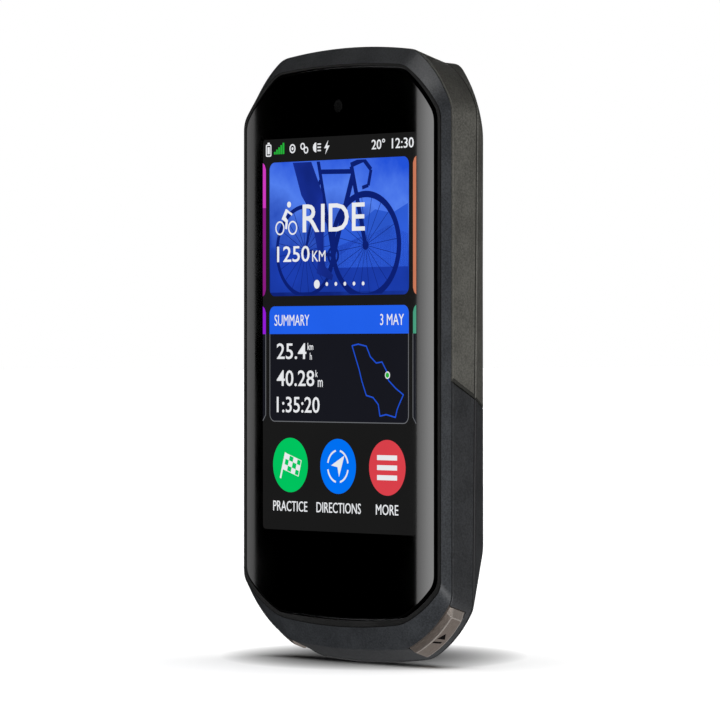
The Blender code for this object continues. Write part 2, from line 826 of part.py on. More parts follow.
def vent_holes():
    bm = bmesh.new()
    for k in (-1, 0, 1):
        x = VENT_X + 1.9 * k
        add_rod(bm, (x, FLOOR_DEPTH - 1, VENT_Z), (x, BACK_DEPTH + 1, VENT_Z), 0.5, 12)
    return helper("vent_holes", bm)


def shell_screw_holes():
    bm = bmesh.new()
    for x, z in mount_screw_spots():
        add_rod(bm, (x, FLOOR_DEPTH - 1, z), (x, BACK_DEPTH + 1, z), 1.1, 16)
    return helper("shell_mount_holes", bm)


def build_upper_shell():
    shell = make("upper_rear_shell", shell_mesh(), TAUPE_PLASTIC)
    slack = 2.5 / edge_length(POWER)
    shares = spread(POWER.start - slack, POWER.end + slack, 2)
    join(
        shell,
        screw_bosses("upper_bosses", SCREW_SPOTS_HIGH),
        key_boss("power_key", POWER, POWER_BUILD, 4.3, 8.4, shares),
    )
    cut(
        shell,
        split_side("below_joint", upper=True),
        *screw_holes("upper_screw_holes", SCREW_SPOTS_HIGH),
        *key_pocket("power_key", POWER, POWER_BUILD),
        speaker_slots(),
        vent_holes(),
        shell_screw_holes(),
    )


def build_lower_shell():
    shell = make("lower_rear_shell", shell_mesh(), SLATE_PLASTIC)
    port_boss, port_cuts = port_helpers()
    lanyard_boss, lanyard_cuts = lanyard_helpers()
    shares = spread(0.03, 0.97, 8)
    join(
        shell,
        screw_bosses("lower_bosses", SCREW_SPOTS_LOW),
        port_boss,
        lanyard_boss,
        key_boss("start_stop_key", START_STOP, CORNER_BUILD, 3.7, 8.0, shares),
        key_boss("lap_key", LAP, CORNER_BUILD, 3.7, 8.0, shares),
    )
    cut(
        shell,
        split_side("above_joint", upper=False),
        *screw_holes("lower_screw_holes", SCREW_SPOTS_LOW),
        *key_pocket("start_stop_key", START_STOP, CORNER_BUILD),
        *key_pocket("lap_key", LAP, CORNER_BUILD),
        *port_cuts,
        *lanyard_cuts,
        contact_opening(),
    )


# Inside


PANEL_HALF = 24.2
PANEL_BOTTOM, PANEL_TOP = 23.0, 103.5
FLEX_LEFT, FLEX_RIGHT = 11.5, 17.5
BOARD_SCREW_SPOTS = [(16, 76), (-16, 104)]


def build_inner_frame():
    """The metal plate that carries display, boards and cell, with its four screw posts."""
    bm = bmesh.new()
    depths = (FRAME_FRONT, FRAME_BACK)
    loft(bm, [ring(GLASS, depth, FRAME_INSET, 1.8) for depth in depths])
    plate = make("inner_frame", bm, FRAME_METAL)
    spots = SCREW_SPOTS_HIGH + SCREW_SPOTS_LOW
    posts, holes = bmesh.new(), bmesh.new()
    for x, z in spots:
        add_rod(posts, (x, FRAME_BACK - 0.4, z), (x, BOSS_FRONT - GAP, z), 2.0, 16)
        add_rod(holes, (x, FRAME_FRONT - 1, z), (x, BOSS_FRONT, z), 1.1, 16)
    join(plate, helper("frame_posts", posts))
    zone = [(2, -12), (2, 3), (9, 3), (9, -12)]
    boss_low, boss_high = (-40, 4, POWER_MIDDLE - 10), (-26.4, 8, POWER_MIDDLE + 10)
    power_low, power_high = (-40, 4, POWER_MIDDLE - 4), (-22.4, 8, POWER_MIDDLE + 4)
    cut(
        plate,
        helper("frame_screw_holes", holes),
        key_clearance("start_stop_frame_notch", START_STOP, zone, 0.28, 0.78),
        key_clearance("lap_frame_notch", LAP, zone, 0.28, 0.78),
        box_helper("power_boss_notch", boss_low, boss_high),
        box_helper("power_switch_notch", power_low, power_high),
        box_helper("flex_window", (FLEX_LEFT - 0.6, 3, 107.3), (FLEX_RIGHT + 0.6, 6, 109.6)),
    )


def build_flex():
    """The display's ribbon: up from the panel, back through the frame, down onto the board."""
    path = [(2.2, 103.9), (2.2, 107.6), (2.9, 108.3), (6.4, 108.3), (7.0, 107.8), (7.0, 107.0)]
    path = [Vector(p) for p in path]
    thick = 0.25
    sides = []
    for sign in (-0.5, 0.5):
        side = []
        for i, p in enumerate(path):
            before, after = path[max(i - 1, 0)], path[min(i + 1, len(path) - 1)]
            side.append(p + outward(before, after) * (sign * thick))
        sides.append(side)
    edge = sides[0] + sides[1][::-1]
    bm = bmesh.new()
    loft(bm, [[Vector((x, p.x, p.y)) for p in edge] for x in (FLEX_LEFT, FLEX_RIGHT)])
    make("display_ribbon", bm, POLYIMIDE)


def build_inside():
    low, high = (-PANEL_HALF, 1.5, PANEL_BOTTOM), (PANEL_HALF, 3.0, PANEL_TOP)
    block("display_panel", low, high, DISPLAY)
    rod("light_sensor", (0, 1.5, 107.1), (0, 2.4, 107.1), 1.25, DISPLAY)
    build_inner_frame()
    build_flex()
    block("battery", (-20, 5.9, 24), (20, 10.7, 70), CELL_FOIL, 0.8)
    block("battery_pad", (-14, 11.0, 52), (14, 11.3, 68), ADHESIVE)
    block("battery_lead", (-14, 7.0, 70.4), (-11, 7.6, 72.9), POLYIMIDE)
    block("battery_socket", (-15, 6.7, 73.2), (-10, 8.4, 75.6), BLACK_PLASTIC)
    board = block("main_board", (-19, BOARD_FRONT, 72.5), (19, BOARD_BACK, 107.5), CIRCUIT_BOARD)
    for number, (x, z) in enumerate(BOARD_SCREW_SPOTS, 1):
        cut(board, rod_helper(f"board_hole_{number}", (x, 5, z), (x, 7, z), 1.1))
        socket_screw(f"board_screw_{number}", (x, z), (5.4, BOARD_BACK + GAP, 7.8), 0.8, 1.7)
    block("processor_shield", (-18, 6.7, 77.5), (-1, 8.6, 97), SHIELD_METAL, 0.3)
    block("radio_shield", (3, 6.7, 93), (17, 8.4, 98.3), SHIELD_METAL, 0.3)
    block("satellite_antenna", (-9, 6.7, 99.6), (9, 10.2, 106.6), ANTENNA_CERAMIC, 0.3)
    block("radio_antenna", (-16, 6.9, 109.2), (7, 7.4, 111.4), POLYIMIDE)
    speaker_low = (SPEAKER_X - 7.5, 6.9, SPEAKER_Z - 5.5)
    block("speaker", speaker_low, (SPEAKER_X + 7.5, 10.7, SPEAKER_Z + 5.5), BLACK_PLASTIC, 0.5)
    mesh_low = (SPEAKER_X - 5, 11.0, SPEAKER_Z - 3.4)
    block("speaker_mesh", mesh_low, (SPEAKER_X + 5, 11.3, SPEAKER_Z + 3.4), WOVEN_MESH)
    rod("vent_membrane", (VENT_X, 10.9, VENT_Z), (VENT_X, 11.3, VENT_Z), 3.4, WOVEN_MESH)
    block("lower_board", (-14.5, 5.9, 7.5), (14.5, 6.7, 21), CIRCUIT_BOARD)
    block("board_link_ribbon", (-13.5, 5.4, 21.3), (-8.5, 5.65, 72.2), POLYIMIDE)


def build_keys():
    keys = (
        ("start_stop", START_STOP, CORNER_BUILD),
        ("lap", LAP, CORNER_BUILD),
        ("power", POWER, POWER_BUILD),
    )
    for name, spot, build in keys:
        key_cap(f"{name}_key", spot, build)
        key_seal(f"{name}_key_seal", spot, build)
        key_switch(f"{name}_switch", spot, build)


build_bezel()
build_glass()
glue_depths = (GLASS_THICK + GAP, SHELF_FRONT - GAP)
flat_ring("glass_adhesive", GLASS, glue_depths, (0.3, 2.1), ADHESIVE)
flat_ring("housing_seal", GLASS, (SHELF_BACK + GAP, FRAME_FRONT - GAP), (FRAME_INSET, 2.05), BLACK_RUBBER)
build_upper_shell()
build_lower_shell()
housing_screws()
build_mount()
build_contacts()
build_lanyard_bar()
build_flap()
build_receptacle()
build_inside()
build_keys()
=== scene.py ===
"""The looks of the cycling computer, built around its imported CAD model.

Shapes are in millimetres: X to the right of someone looking at the screen, Y into the unit from
the front of the glass, Z up from the bottom edge. publish() moves a finished piece into the
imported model's frame, in metres.
"""

import json
import math
from collections import namedtuple

import bmesh
import bpy
from mathutils import Matrix, Vector


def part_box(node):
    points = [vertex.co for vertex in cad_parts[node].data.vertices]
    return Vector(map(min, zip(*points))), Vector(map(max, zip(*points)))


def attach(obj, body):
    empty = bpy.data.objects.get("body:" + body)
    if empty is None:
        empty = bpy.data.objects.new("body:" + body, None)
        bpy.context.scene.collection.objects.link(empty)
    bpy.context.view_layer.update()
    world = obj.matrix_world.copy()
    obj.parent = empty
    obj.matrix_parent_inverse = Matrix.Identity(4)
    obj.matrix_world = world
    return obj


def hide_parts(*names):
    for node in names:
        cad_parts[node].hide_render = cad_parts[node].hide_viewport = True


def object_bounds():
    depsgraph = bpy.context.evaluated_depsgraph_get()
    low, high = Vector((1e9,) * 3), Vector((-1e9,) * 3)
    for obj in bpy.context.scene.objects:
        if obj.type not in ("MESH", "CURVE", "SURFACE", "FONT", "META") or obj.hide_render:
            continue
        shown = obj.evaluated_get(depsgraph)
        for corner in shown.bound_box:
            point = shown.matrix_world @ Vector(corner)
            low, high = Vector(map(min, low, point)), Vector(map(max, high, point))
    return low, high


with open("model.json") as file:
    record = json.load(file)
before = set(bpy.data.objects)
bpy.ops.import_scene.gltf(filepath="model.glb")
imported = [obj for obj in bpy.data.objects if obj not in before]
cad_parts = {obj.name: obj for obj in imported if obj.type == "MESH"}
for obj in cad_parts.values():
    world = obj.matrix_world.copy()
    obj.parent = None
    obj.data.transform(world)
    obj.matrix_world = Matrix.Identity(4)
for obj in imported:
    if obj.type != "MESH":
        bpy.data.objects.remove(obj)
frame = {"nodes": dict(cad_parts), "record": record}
CAD_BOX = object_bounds()

MM = 0.001
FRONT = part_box("cover_glass")[0].y / MM
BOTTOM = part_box("lower_rear_shell")[0].z / MM
TO_FRAME = Matrix.Scale(MM, 4) @ Matrix.Translation((0, FRONT, BOTTOM))

# The same driving dimensions as the CAD model.
DEPTH = 16.3
MOUNT_HEIGHT = 66.0
GAP = 0.3
WALL = 1.4
SEAM_DEPTH = 2.8
CREASE_MIDDLE = 9.4
CREASE_LEAN = 0.011
CREASE_DIP = 2.24
DIP_FLAT, DIP_END = 10.0, 19.0
HALF_HEIGHT = 52.0
BACK_DEPTH = 13.0
FLOOR_DEPTH = 11.6
SPLIT_HEIGHT = 54.3
SPLIT_LEAN = -0.515
SHELF_FRONT, SHELF_BACK = 2.1, 3.3
CORNER_RUN = 1.6

Octagon = namedtuple(
    "Octagon", "half top_x top_z crown shoulder hip foot_x foot_z keel bow"
)
GLASS = Octagon(28.15, 18.3, 113.5, 114.4, 104.6, 16.2, 17.9, 9.3, 8.6, 0.7)
LIP = Octagon(29.35, 18.6, 114.2, 115.0, 104.9, 15.4, 18.0, 8.2, 7.05, 0.8)
SEAM = Octagon(30.1, 19.6, 117.2, 118.5, 106.0, 13.0, 17.1, 3.3, 2.55, 1.2)
CREASE = Octagon(29.35, 20.0, 115.0, 115.4, 105.6, 11.2, 17.6, 1.1, 0.0, 1.2)
BACK = Octagon(27.5, 20.9, 114.8, 115.1, 101.0, 21.8, 16.5, 10.5, 9.0, 1.2)
CORNER_CUT, SIDE = 2, 1
EDGE_POINTS = (15, 4, 15, 23, 15, 4, 15, 23)
CORNER_POINTS = 7


# Outlines


def corners(shape):
    """The eight sharp corners, clockwise from the top right, as (x, z)."""
    right = [
        (shape.top_x, shape.top_z),
        (shape.half, shape.shoulder),
        (shape.half, shape.hip),
        (shape.foot_x, shape.foot_z),
    ]
    return [Vector(p) for p in right] + [Vector((-x, z)) for x, z in reversed(right)]


def bulges(shape):
    """How far the middle of each edge stands out from its chord."""
    cut = shape.bow
    return (cut, 0, cut, shape.foot_z - shape.keel, cut, 0, cut, shape.crown - shape.top_z)


def outward(start, end):
    along = (end - start).normalized()
    return Vector((-along.y, along.x))


def crossing(p, along_p, q, along_q):
    return p + along_p * ((q - p).cross(along_q) / along_p.cross(along_q))


def shrunk(points, inset):
    count = len(points)
    ways = [points[(i + 1) % count] - points[i] for i in range(count)]
    starts = [
        points[i] - outward(points[i], points[(i + 1) % count]) * inset for i in range(count)
    ]
    return [crossing(starts[i - 1], ways[i - 1], starts[i], ways[i]) for i in range(count)]


def bowed(start, end, bulge, share):
    out = outward(start, end)
    point = start.lerp(end, share) + out * (4 * bulge * share * (1 - share))
    return point, (end - start) + out * (4 * bulge * (1 - 2 * share))


def outline(shape, inset=0.0, corner_run=CORNER_RUN):
    """The rounded outline as (x, z) points. Every outline has the same number of them."""
    points = shrunk(corners(shape), inset)
    edges = []
    for i, bulge in enumerate(bulges(shape)):
        start, end = points[i], points[(i + 1) % len(points)]
        trim = corner_run / (end - start).length
        steps = EDGE_POINTS[i] - 1
        shares = [trim + (1 - 2 * trim) * k / steps for k in range(steps + 1)]
        edges.append([bowed(start, end, bulge, share) for share in shares])
    result = []
    for i, edge in enumerate(edges):
        result += [point for point, _ in edge]
        (p, along_p), (q, along_q) = edge[-1], edges[(i + 1) % len(edges)][0]
        pull = crossing(p, along_p, q, along_q)
        for k in range(1, CORNER_POINTS + 1):
            share = k / (CORNER_POINTS + 1)
            result.append(p.lerp(pull, share).lerp(pull.lerp(q, share), share))
    return result


def crease_depth(x, z):
    depth = CREASE_MIDDLE + CREASE_LEAN * (z - HALF_HEIGHT)
    if z > HALF_HEIGHT:
        return depth
    swing = min(max((DIP_END - abs(x)) / (DIP_END - DIP_FLAT), 0), 1)
    return depth - CREASE_DIP * swing * swing * (3 - 2 * swing)


def ring(shape, depth, inset=0.0, corner_run=CORNER_RUN):
    """The outline as points in space. The depth is a number or a function of x and z."""
    return [
        Vector((x, depth(x, z) if callable(depth) else depth, z))
        for x, z in outline(shape, inset, corner_run)
    ]


def between(first, second, share):
    return Octagon(*(a + (b - a) * share for a, b in zip(first, second)))


def towards(point, other, reach):
    """The point this far towards another one, at most nearly half way."""
    way = other - point
    if way.length < 1e-9:
        return point.copy()
    return point + way * min(reach / way.length, 0.48)


def rounded(rings, reaches, closed=False, steps=4):
    """Rounds a loft along its profile: reaches[i] is how far the rounding of ring i reaches."""
    result = []
    for i, (points, reach) in enumerate(zip(rings, reaches)):
        if not reach or (not closed and i in (0, len(rings) - 1)):
            result.append(points)
            continue
        before, after = rings[i - 1], rings[(i + 1) % len(rings)]
        for k in range(steps + 1):
            share = k / steps
            bend = []
            for a, p, b in zip(before, points, after):
                first, last = towards(p, a, reach), towards(p, b, reach)
                bend.append(first.lerp(p, share).lerp(p.lerp(last, share), share))
            result.append(bend)
    return result


# Meshes


def loft(bm, rings, closed=False):
    """Joins rings of equally many points. An open loft is capped; a closed one joins its ends."""
    rows = [[bm.verts.new(point) for point in points] for points in rings]
    pairs = list(zip(rows, rows[1:])) + ([(rows[-1], rows[0])] if closed else [])
    made = []
    for first, second in pairs:
        for i, _ in enumerate(first):
            j = (i + 1) % len(first)
            made.append(bm.faces.new((first[i], first[j], second[j], second[i])))
    if not closed:
        made.append(bm.faces.new(rows[0]))
        made.append(bm.faces.new(rows[-1]))
    bmesh.ops.recalc_face_normals(bm, faces=made)


def add_box(bm, low, high, place=None):
    low, high = Vector(low), Vector(high)
    made = bmesh.ops.create_cube(bm, size=1)["verts"]
    moved = Matrix.Translation((low + high) / 2) @ Matrix.Diagonal((*(high - low), 1))
    bmesh.ops.transform(bm, matrix=(place or Matrix.Identity(4)) @ moved, verts=made)


def turned(bm, profile, place, segments=48, closed=False):
    """A solid turned about the local Z axis from (radius, height) points."""
    rings = []
    for radius, height in profile:
        turns = [2 * math.pi * k / segments for k in range(segments)]
        points = [(radius * math.cos(turn), radius * math.sin(turn), height) for turn in turns]
        rings.append([place @ Vector(point) for point in points])
    loft(bm, rings, closed)


def into_depth(x, z, depth=0.0):
    """A frame whose local Z runs along +Y, into the unit."""
    turn = Matrix(((1, 0, 0), (0, 0, 1), (0, -1, 0))).to_4x4()
    return Matrix.Translation((x, depth, z)) @ turn


def along_x(x, depth, z):
    """A frame whose local Z runs along +X."""
    turn = Matrix(((0, 0, 1), (1, 0, 0), (0, 1, 0))).to_4x4()
    return Matrix.Translation((x, depth, z)) @ turn


def linked(obj):
    """Puts a new object into the scene and gives it back."""
    bpy.context.scene.collection.objects.link(obj)
    return obj


def draft(bm, name="draft"):
    """An object in millimetres, still to be carved and published."""
    mesh = bpy.data.meshes.new(name)
    bm.to_mesh(mesh)
    bm.free()
    return linked(bpy.data.objects.new(name, mesh))


def drafted(build, *args, mirror=False, **options):
    """The draft of a loft, add_box or turned call, mirrored to the left-hand side if asked."""
    bm = bmesh.new()
    build(bm, *args, **options)
    if mirror:
        bmesh.ops.transform(bm, matrix=Matrix.Scale(-1, 4, (1, 0, 0)), verts=bm.verts)
        bmesh.ops.recalc_face_normals(bm, faces=bm.faces)
    return draft(bm)


def apply_modifiers(obj):
    graph = bpy.context.evaluated_depsgraph_get()
    mesh = bpy.data.meshes.new_from_object(obj.evaluated_get(graph))
    obj.modifiers.clear()
    old, obj.data = obj.data, mesh
    bpy.data.meshes.remove(old)


def combine(target, others, operation):
    for other in others:
        boolean = target.modifiers.new("boolean", "BOOLEAN")
        boolean.operation = operation
        boolean.object = other
    apply_modifiers(target)
    for other in others:
        bpy.data.objects.remove(other)
    return target


def cut(target, *others):
    return combine(target, others, "DIFFERENCE")


def join(target, *others):
    return combine(target, others, "UNION")


def bevelled(obj, width, segments=3, angle=40):
    bevel = obj.modifiers.new("rounding", "BEVEL")
    bevel.width = width
    bevel.segments = segments
    bevel.limit_method = "ANGLE"
    bevel.angle_limit = math.radians(angle)
    apply_modifiers(obj)
    return obj


def publish(obj, name, slot, *nodes, body="case", material=None, sharp=32):
    obj.data.transform(TO_FRAME)
    obj.data.shade_smooth()
    obj.data.set_sharp_from_angle(angle=math.radians(sharp))
    weights = obj.modifiers.new("weights", "WEIGHTED_NORMAL")
    weights.keep_sharp = True
    apply_modifiers(obj)
    obj.name = obj.data.name = name
    obj.data.materials.clear()
    obj.data.materials.append(material or LOOKS[slot])
    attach(obj, body)
    if nodes:
        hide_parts(*nodes)
    return obj


# Materials


class Nodes:
    """A node tree and the nodes that the materials and the world share."""

    def __init__(self, tree, clear=False):
        self.tree = tree
        if clear:
            tree.nodes.clear()

    def node(self, kind, **values):
        node = self.tree.nodes.new(kind)
        for key, value in values.items():
            setattr(node, key, value)
        return node

    def link(self, output, socket):
        self.tree.links.new(output, socket)

    def coordinates(self, kind="Object"):
        return self.node("ShaderNodeTexCoord").outputs[kind]

    def combined(self, operation, *values, kind="ShaderNodeMath", output="Value"):
        """A sum, product or other operation on outputs and numbers."""
        node = self.node(kind, operation=operation)
        for socket, value in zip(node.inputs, values):
            if isinstance(value, (float, Vector)):
                socket.default_value = value
            else:
                self.link(value, socket)
        return node.outputs[output]

    def spread(self, value, low, high, start=0.3, end=0.7, **values):
        """Maps start to low and end to high. The defaults suit the middle of a noise."""
        reach = self.node("ShaderNodeMapRange", **values)
        names = ("From Min", "From Max", "To Min", "To Max")
        for socket, number in zip(names, (start, end, low, high)):
            reach.inputs[socket].default_value = number
        self.link(value, reach.inputs["Value"])
        return reach.outputs["Result"]

    def ramp(self, value, stops):
        ramp = self.node("ShaderNodeValToRGB")
        elements = ramp.color_ramp.elements
        while len(elements) < len(stops):
            elements.new(0.5)
        for element, (position, colour) in zip(elements, stops):
            element.position = position
            element.color = (*colour, 1)
        self.link(value, ramp.inputs["Fac"])
        return ramp.outputs["Color"]


LOOKS = {}  # every material by its name, which for most is also its slot


class Recipe(Nodes):
    """A Principled material. Places are in millimetres."""

    def __init__(self, name, roughness, metallic=0.0, specular=0.5):
        self.material = LOOKS[name] = bpy.data.materials.new(name)
        self.material.use_nodes = True
        super().__init__(self.material.node_tree)
        self.sockets = self.tree.nodes["Principled BSDF"].inputs
        self.set("Roughness", roughness)
        self.set("Metallic", metallic)
        self.set("Specular IOR Level", specular)
        self.roughness = roughness

    def set(self, socket, value):
        self.sockets[socket].default_value = value

    def place(self, stretch=(1, 1, 1)):
        """Object coordinates in millimetres, stretched along each axis."""
        mapping = self.node("ShaderNodeMapping")
        mapping.inputs["Scale"].default_value = [way / MM for way in stretch]
        self.link(self.coordinates(), mapping.inputs["Vector"])
        return mapping.outputs["Vector"]

    def noise(self, per_mm, detail, stretch=(1, 1, 1)):
        noise = self.node("ShaderNodeTexNoise")
        for socket, number in (("Scale", per_mm), ("Detail", detail), ("Roughness", 0.55)):
            noise.inputs[socket].default_value = number
        self.link(self.place(stretch), noise.inputs["Vector"])
        return noise.outputs["Fac"]

    def colours(self, value, stops, socket="Base Color"):
        self.link(self.ramp(value, stops), self.sockets[socket])

    def shades(self, value, colour, change, start=0.35, end=0.65, socket="Base Color"):
        """A colour that varies by this share with the pattern."""
        dark, light = [tuple(c * k for c in colour) for k in (1 - change, 1 + change)]
        self.colours(value, [(start, dark), (end, light)], socket)

    def worn(self, amount, colour, start=0.51, end=0.56):
        """Mixes a lighter colour into the base along outside edges."""
        pointiness = self.node("ShaderNodeNewGeometry").outputs["Pointiness"]
        mix = self.node("ShaderNodeMix", data_type="RGBA")
        factor, first, second = (mix.inputs[k] for k in (0, 6, 7))
        self.link(self.spread(pointiness, 0.0, amount, start, end), factor)
        self.link(self.sockets["Base Color"].links[0].from_socket, first)
        second.default_value = (*colour, 1)
        self.link(mix.outputs[2], self.sockets["Base Color"])

    def rough(self, value, change):
        low, high = max(self.roughness - change, 0.01), self.roughness + change
        self.link(self.spread(value, low, high), self.sockets["Roughness"])

    def bump(self, value, height_mm):
        bump = self.node("ShaderNodeBump")
        bump.inputs["Distance"].default_value = height_mm * MM
        bump.inputs["Strength"].default_value = 1.0
        self.link(value, bump.inputs["Height"])
        self.link(bump.outputs["Normal"], self.sockets["Normal"])


def srgb(*levels):
    """Linear colour from display levels of 0 to 255."""
    shares = [level / 255 for level in levels]
    return tuple(s / 12.92 if s <= 0.04045 else ((s + 0.055) / 1.055) ** 2.4 for s in shares)


def moulded(name, levels, roughness, grain_mm, height, change, specular=0.5, wear=0.0):
    """Fine-grained plastic: mottled colour, sheen that varies, eroded grain, rubbed edges."""
    colour = srgb(*levels)
    recipe = Recipe(name, roughness, specular=specular)
    grain = recipe.noise(1 / grain_mm, 2.0)
    patches = recipe.noise(0.16, 3.0)
    fleck = recipe.combined("MULTIPLY_ADD", grain, 0.85, recipe.spread(patches, 0.0, 0.15))
    recipe.shades(fleck, colour, change)
    if wear:
        recipe.worn(wear, tuple(min(c * 2.2 + 0.01, 1) for c in colour))
    recipe.rough(patches, 0.05)
    recipe.bump(grain, height)


def metal(
    name, levels, roughness, stretch, per_mm, change, height=0.003, metallic=1.0, wear=0.6
):
    """Brushed or cast metal with polished edges. The stretch is small along the brushing."""
    colour = srgb(*levels)
    recipe = Recipe(name, roughness, metallic)
    strokes = recipe.noise(per_mm, 4.0, stretch)
    recipe.shades(strokes, colour, change)
    recipe.rough(strokes, 0.08)
    if wear:
        recipe.worn(wear, tuple(min(c * 1.6 + 0.1, 1) for c in colour))
    recipe.bump(strokes, height)


def woven(name, levels, pitch_mm):
    """A plain weave of fine wire or thread."""
    colour = srgb(*levels)
    recipe = Recipe(name, 0.6, 0.4)
    waves = []
    for axis in ("X", "Z"):
        wave = recipe.node("ShaderNodeTexWave", bands_direction=axis)
        wave.inputs["Scale"].default_value = 0.314 / pitch_mm
        recipe.link(recipe.place(), wave.inputs["Vector"])
        waves.append(wave.outputs["Fac"])
    crossed = recipe.combined("MULTIPLY", *waves)
    recipe.colours(crossed, [(0.1, tuple(c * 0.2 for c in colour)), (0.6, colour)])
    recipe.bump(crossed, 0.04)


GLASS_ROUGHNESS = 0.012


def polished_glass():
    recipe = Recipe("black_glass", GLASS_ROUGHNESS)
    smears = recipe.noise(0.07, 4.0)
    dust = recipe.noise(3.0, 1.0)
    recipe.colours(dust, [(0.72, (0.0012, 0.0012, 0.0013)), (0.8, (0.006, 0.006, 0.006))])
    recipe.rough(smears, 0.008)


def lit_recipe(name):
    """A lit part of the screen under the same smooth glass, its emission still to be set."""
    recipe = Recipe(name, 0.3, specular=0.0)
    recipe.set("Base Color", (0.001, 0.001, 0.001, 1))
    recipe.set("Coat Weight", 1.0)
    recipe.set("Coat Roughness", GLASS_ROUGHNESS)
    recipe.set("Emission Strength", 1.0)
    return recipe


def glowing(name, levels, change=0.03):
    recipe = lit_recipe(name)
    recipe.shades(recipe.noise(0.09, 2.0), srgb(*levels), change, 0.3, 0.7, "Emission Color")


def picture_blue():
    """The glow of the card's picture: light at the top right, dark at the foot, soft clouds."""
    recipe = lit_recipe("screen_picture")
    split = recipe.node("ShaderNodeSeparateXYZ")
    recipe.link(recipe.place(), split.inputs["Vector"])
    rise = recipe.spread(split.outputs["Z"], 0.0, 0.8, 4.7, 30.8)
    clouds = recipe.spread(recipe.noise(0.11, 5.0), -0.12, 0.12)
    lean = recipe.spread(split.outputs["X"], -0.05, 0.12, -20.75, 20.75)
    total = recipe.combined("ADD", recipe.combined("ADD", rise, clouds), lean)
    levels = ((0.0, 16, 36, 122), (0.3, 30, 66, 178), (0.62, 84, 130, 244), (0.9, 36, 84, 222))
    stops = [(position, srgb(*level)) for position, *level in levels]
    recipe.colours(total, stops, "Emission Color")


def circuit_board():
    """Solder mask with faint tracks."""
    recipe = Recipe("circuit_board", 0.4)
    tracks = recipe.node(
        "ShaderNodeTexVoronoi", distance="MANHATTAN", feature="DISTANCE_TO_EDGE"
    )
    tracks.inputs["Scale"].default_value = 0.55
    recipe.link(recipe.place(), tracks.inputs["Vector"])
    distance = tracks.outputs["Distance"]
    recipe.colours(distance, [(0.03, srgb(38, 104, 66)), (0.09, srgb(22, 76, 46))])
    recipe.bump(distance, 0.02)


# Name, display levels, roughness, grain in mm, height in mm, change of shade, specular, wear.
for plastic in (
    ("bezel_plastic", (49, 51, 54), 0.45, 0.34, 0.022, 0.34, 0.25, 0.03),
    # Painted shade: matte near black for the bezel's lip, the wall around the glass and the
    # glass's edges.
    ("painted_shade_black", (7, 7, 7), 0.6, 0.2, 0.004, 0.08, 0.08),
    ("taupe_plastic", (88, 87, 82), 0.5, 0.36, 0.026, 0.32),
    ("slate_plastic", (51, 52, 54), 0.5, 0.36, 0.024, 0.34),
    # The next two are painted shade in the crease's groove, also used for a darker strip at the
    # joint.
    ("taupe_shade", (44, 44, 41), 0.6, 0.36, 0.024, 0.2, 0.3),
    ("slate_shade", (28, 28, 30), 0.6, 0.36, 0.024, 0.2, 0.3),
    ("black_rubber", (26, 26, 27), 0.75, 0.15, 0.02, 0.15, 0.3),
    ("adhesive", (30, 30, 30), 0.7, 0.3, 0.02, 0.12),
    ("black_plastic", (30, 30, 31), 0.45, 0.18, 0.008, 0.1),
    ("polyimide", (150, 92, 30), 0.35, 0.5, 0.006, 0.18),
    ("antenna_ceramic", (188, 178, 156), 0.6, 0.3, 0.01, 0.08),
    ("mark_paint", (9, 7, 7), 0.7, 0.1, 0.004, 0.1, 0.05),
    ("display", (24, 24, 26), 0.2, 0.5, 0.002, 0.1),
    ("sensor_window", (4, 3, 4), 0.11, 0.2, 0.0001, 0.1, 0.05),
):
    moulded(*plastic)
# Name, display levels, roughness, stretch, strokes per mm, change, height in mm, metallic, wear.
for finish in (
    ("key_metal", (150, 138, 130), 0.36, (0.25, 2.0, 0.25), 5.0, 0.16, 0.002, 0.8, 0.3),
    # The next two are painted highlights: a lighter end facet, and a lighter, smoother crest.
    ("key_end_highlight", (168, 158, 150), 0.36, (0.25, 2.0, 0.25), 5.0, 0.16, 0.002, 0.8, 0.3),
    ("key_crest_highlight", (190, 181, 174), 0.24, (1, 1, 1), 4.0, 0.06, 0.001, 0.7, 0.0),
    ("frame_metal", (170, 170, 172), 0.45, (1, 1, 1), 1.6, 0.08, 0.01),
    ("shield_metal", (200, 200, 198), 0.28, (0.2, 1, 2.0), 4.0, 0.06),
    ("mount_metal", (66, 66, 68), 0.42, (1, 1, 1), 3.0, 0.10, 0.006, 0.8, 0.0),
    ("screw_steel", (120, 120, 122), 0.3, (1.5, 0.3, 1.5), 5.0, 0.12),
    ("gold_plate", (226, 190, 118), 0.22, (1, 1, 1), 5.0, 0.06),
    ("cell_foil", (176, 178, 182), 0.38, (0.4, 1, 1.2), 1.0, 0.10, 0.01, 0.7),
):
    metal(*finish)
polished_glass()
circuit_board()
woven("woven_mesh", (96, 96, 98), 0.28)


def dress_nodes():
    """Every CAD node takes the detailed material of its slot."""
    for part in frame["record"]["subparts"]:
        mesh = frame["nodes"][part["node"]].data
        mesh.materials.clear()
        mesh.materials.append(LOOKS[part["material_slot"]])


# Bezel and glass


GLASS_FACE = 0.12  # set back so that the lit screen stays inside the CAD box
LIP_FRONT = 0.5
LIP_BACK = 0.68  # faces facing the front and nearer than this get the lip's painted shade
GLASS_MIDDLE = HALF_HEIGHT + 8


def paint_shade_black(obj, chosen):
    """Paints shade: the chosen faces take a matte near-black colour."""
    obj.data.materials.append(LOOKS["painted_shade_black"])
    for face in obj.data.polygons:
        if chosen(face):
            face.material_index = 1


def on_lip(face):
    """Whether a bezel face is on the lip or the wall around the glass, where shade is painted."""
    depth, facing = face.center.y / MM - FRONT, face.normal.y
    if facing < -0.4 and depth < LIP_BACK:
        return True
    inward = Vector((-face.center.x, 0, (BOTTOM + GLASS_MIDDLE) * MM - face.center.z))
    on_wall = LIP_FRONT - 0.05 < depth < SHELF_BACK and abs(facing) < 0.9
    return on_wall and face.normal.dot(inward.normalized()) > 0.6


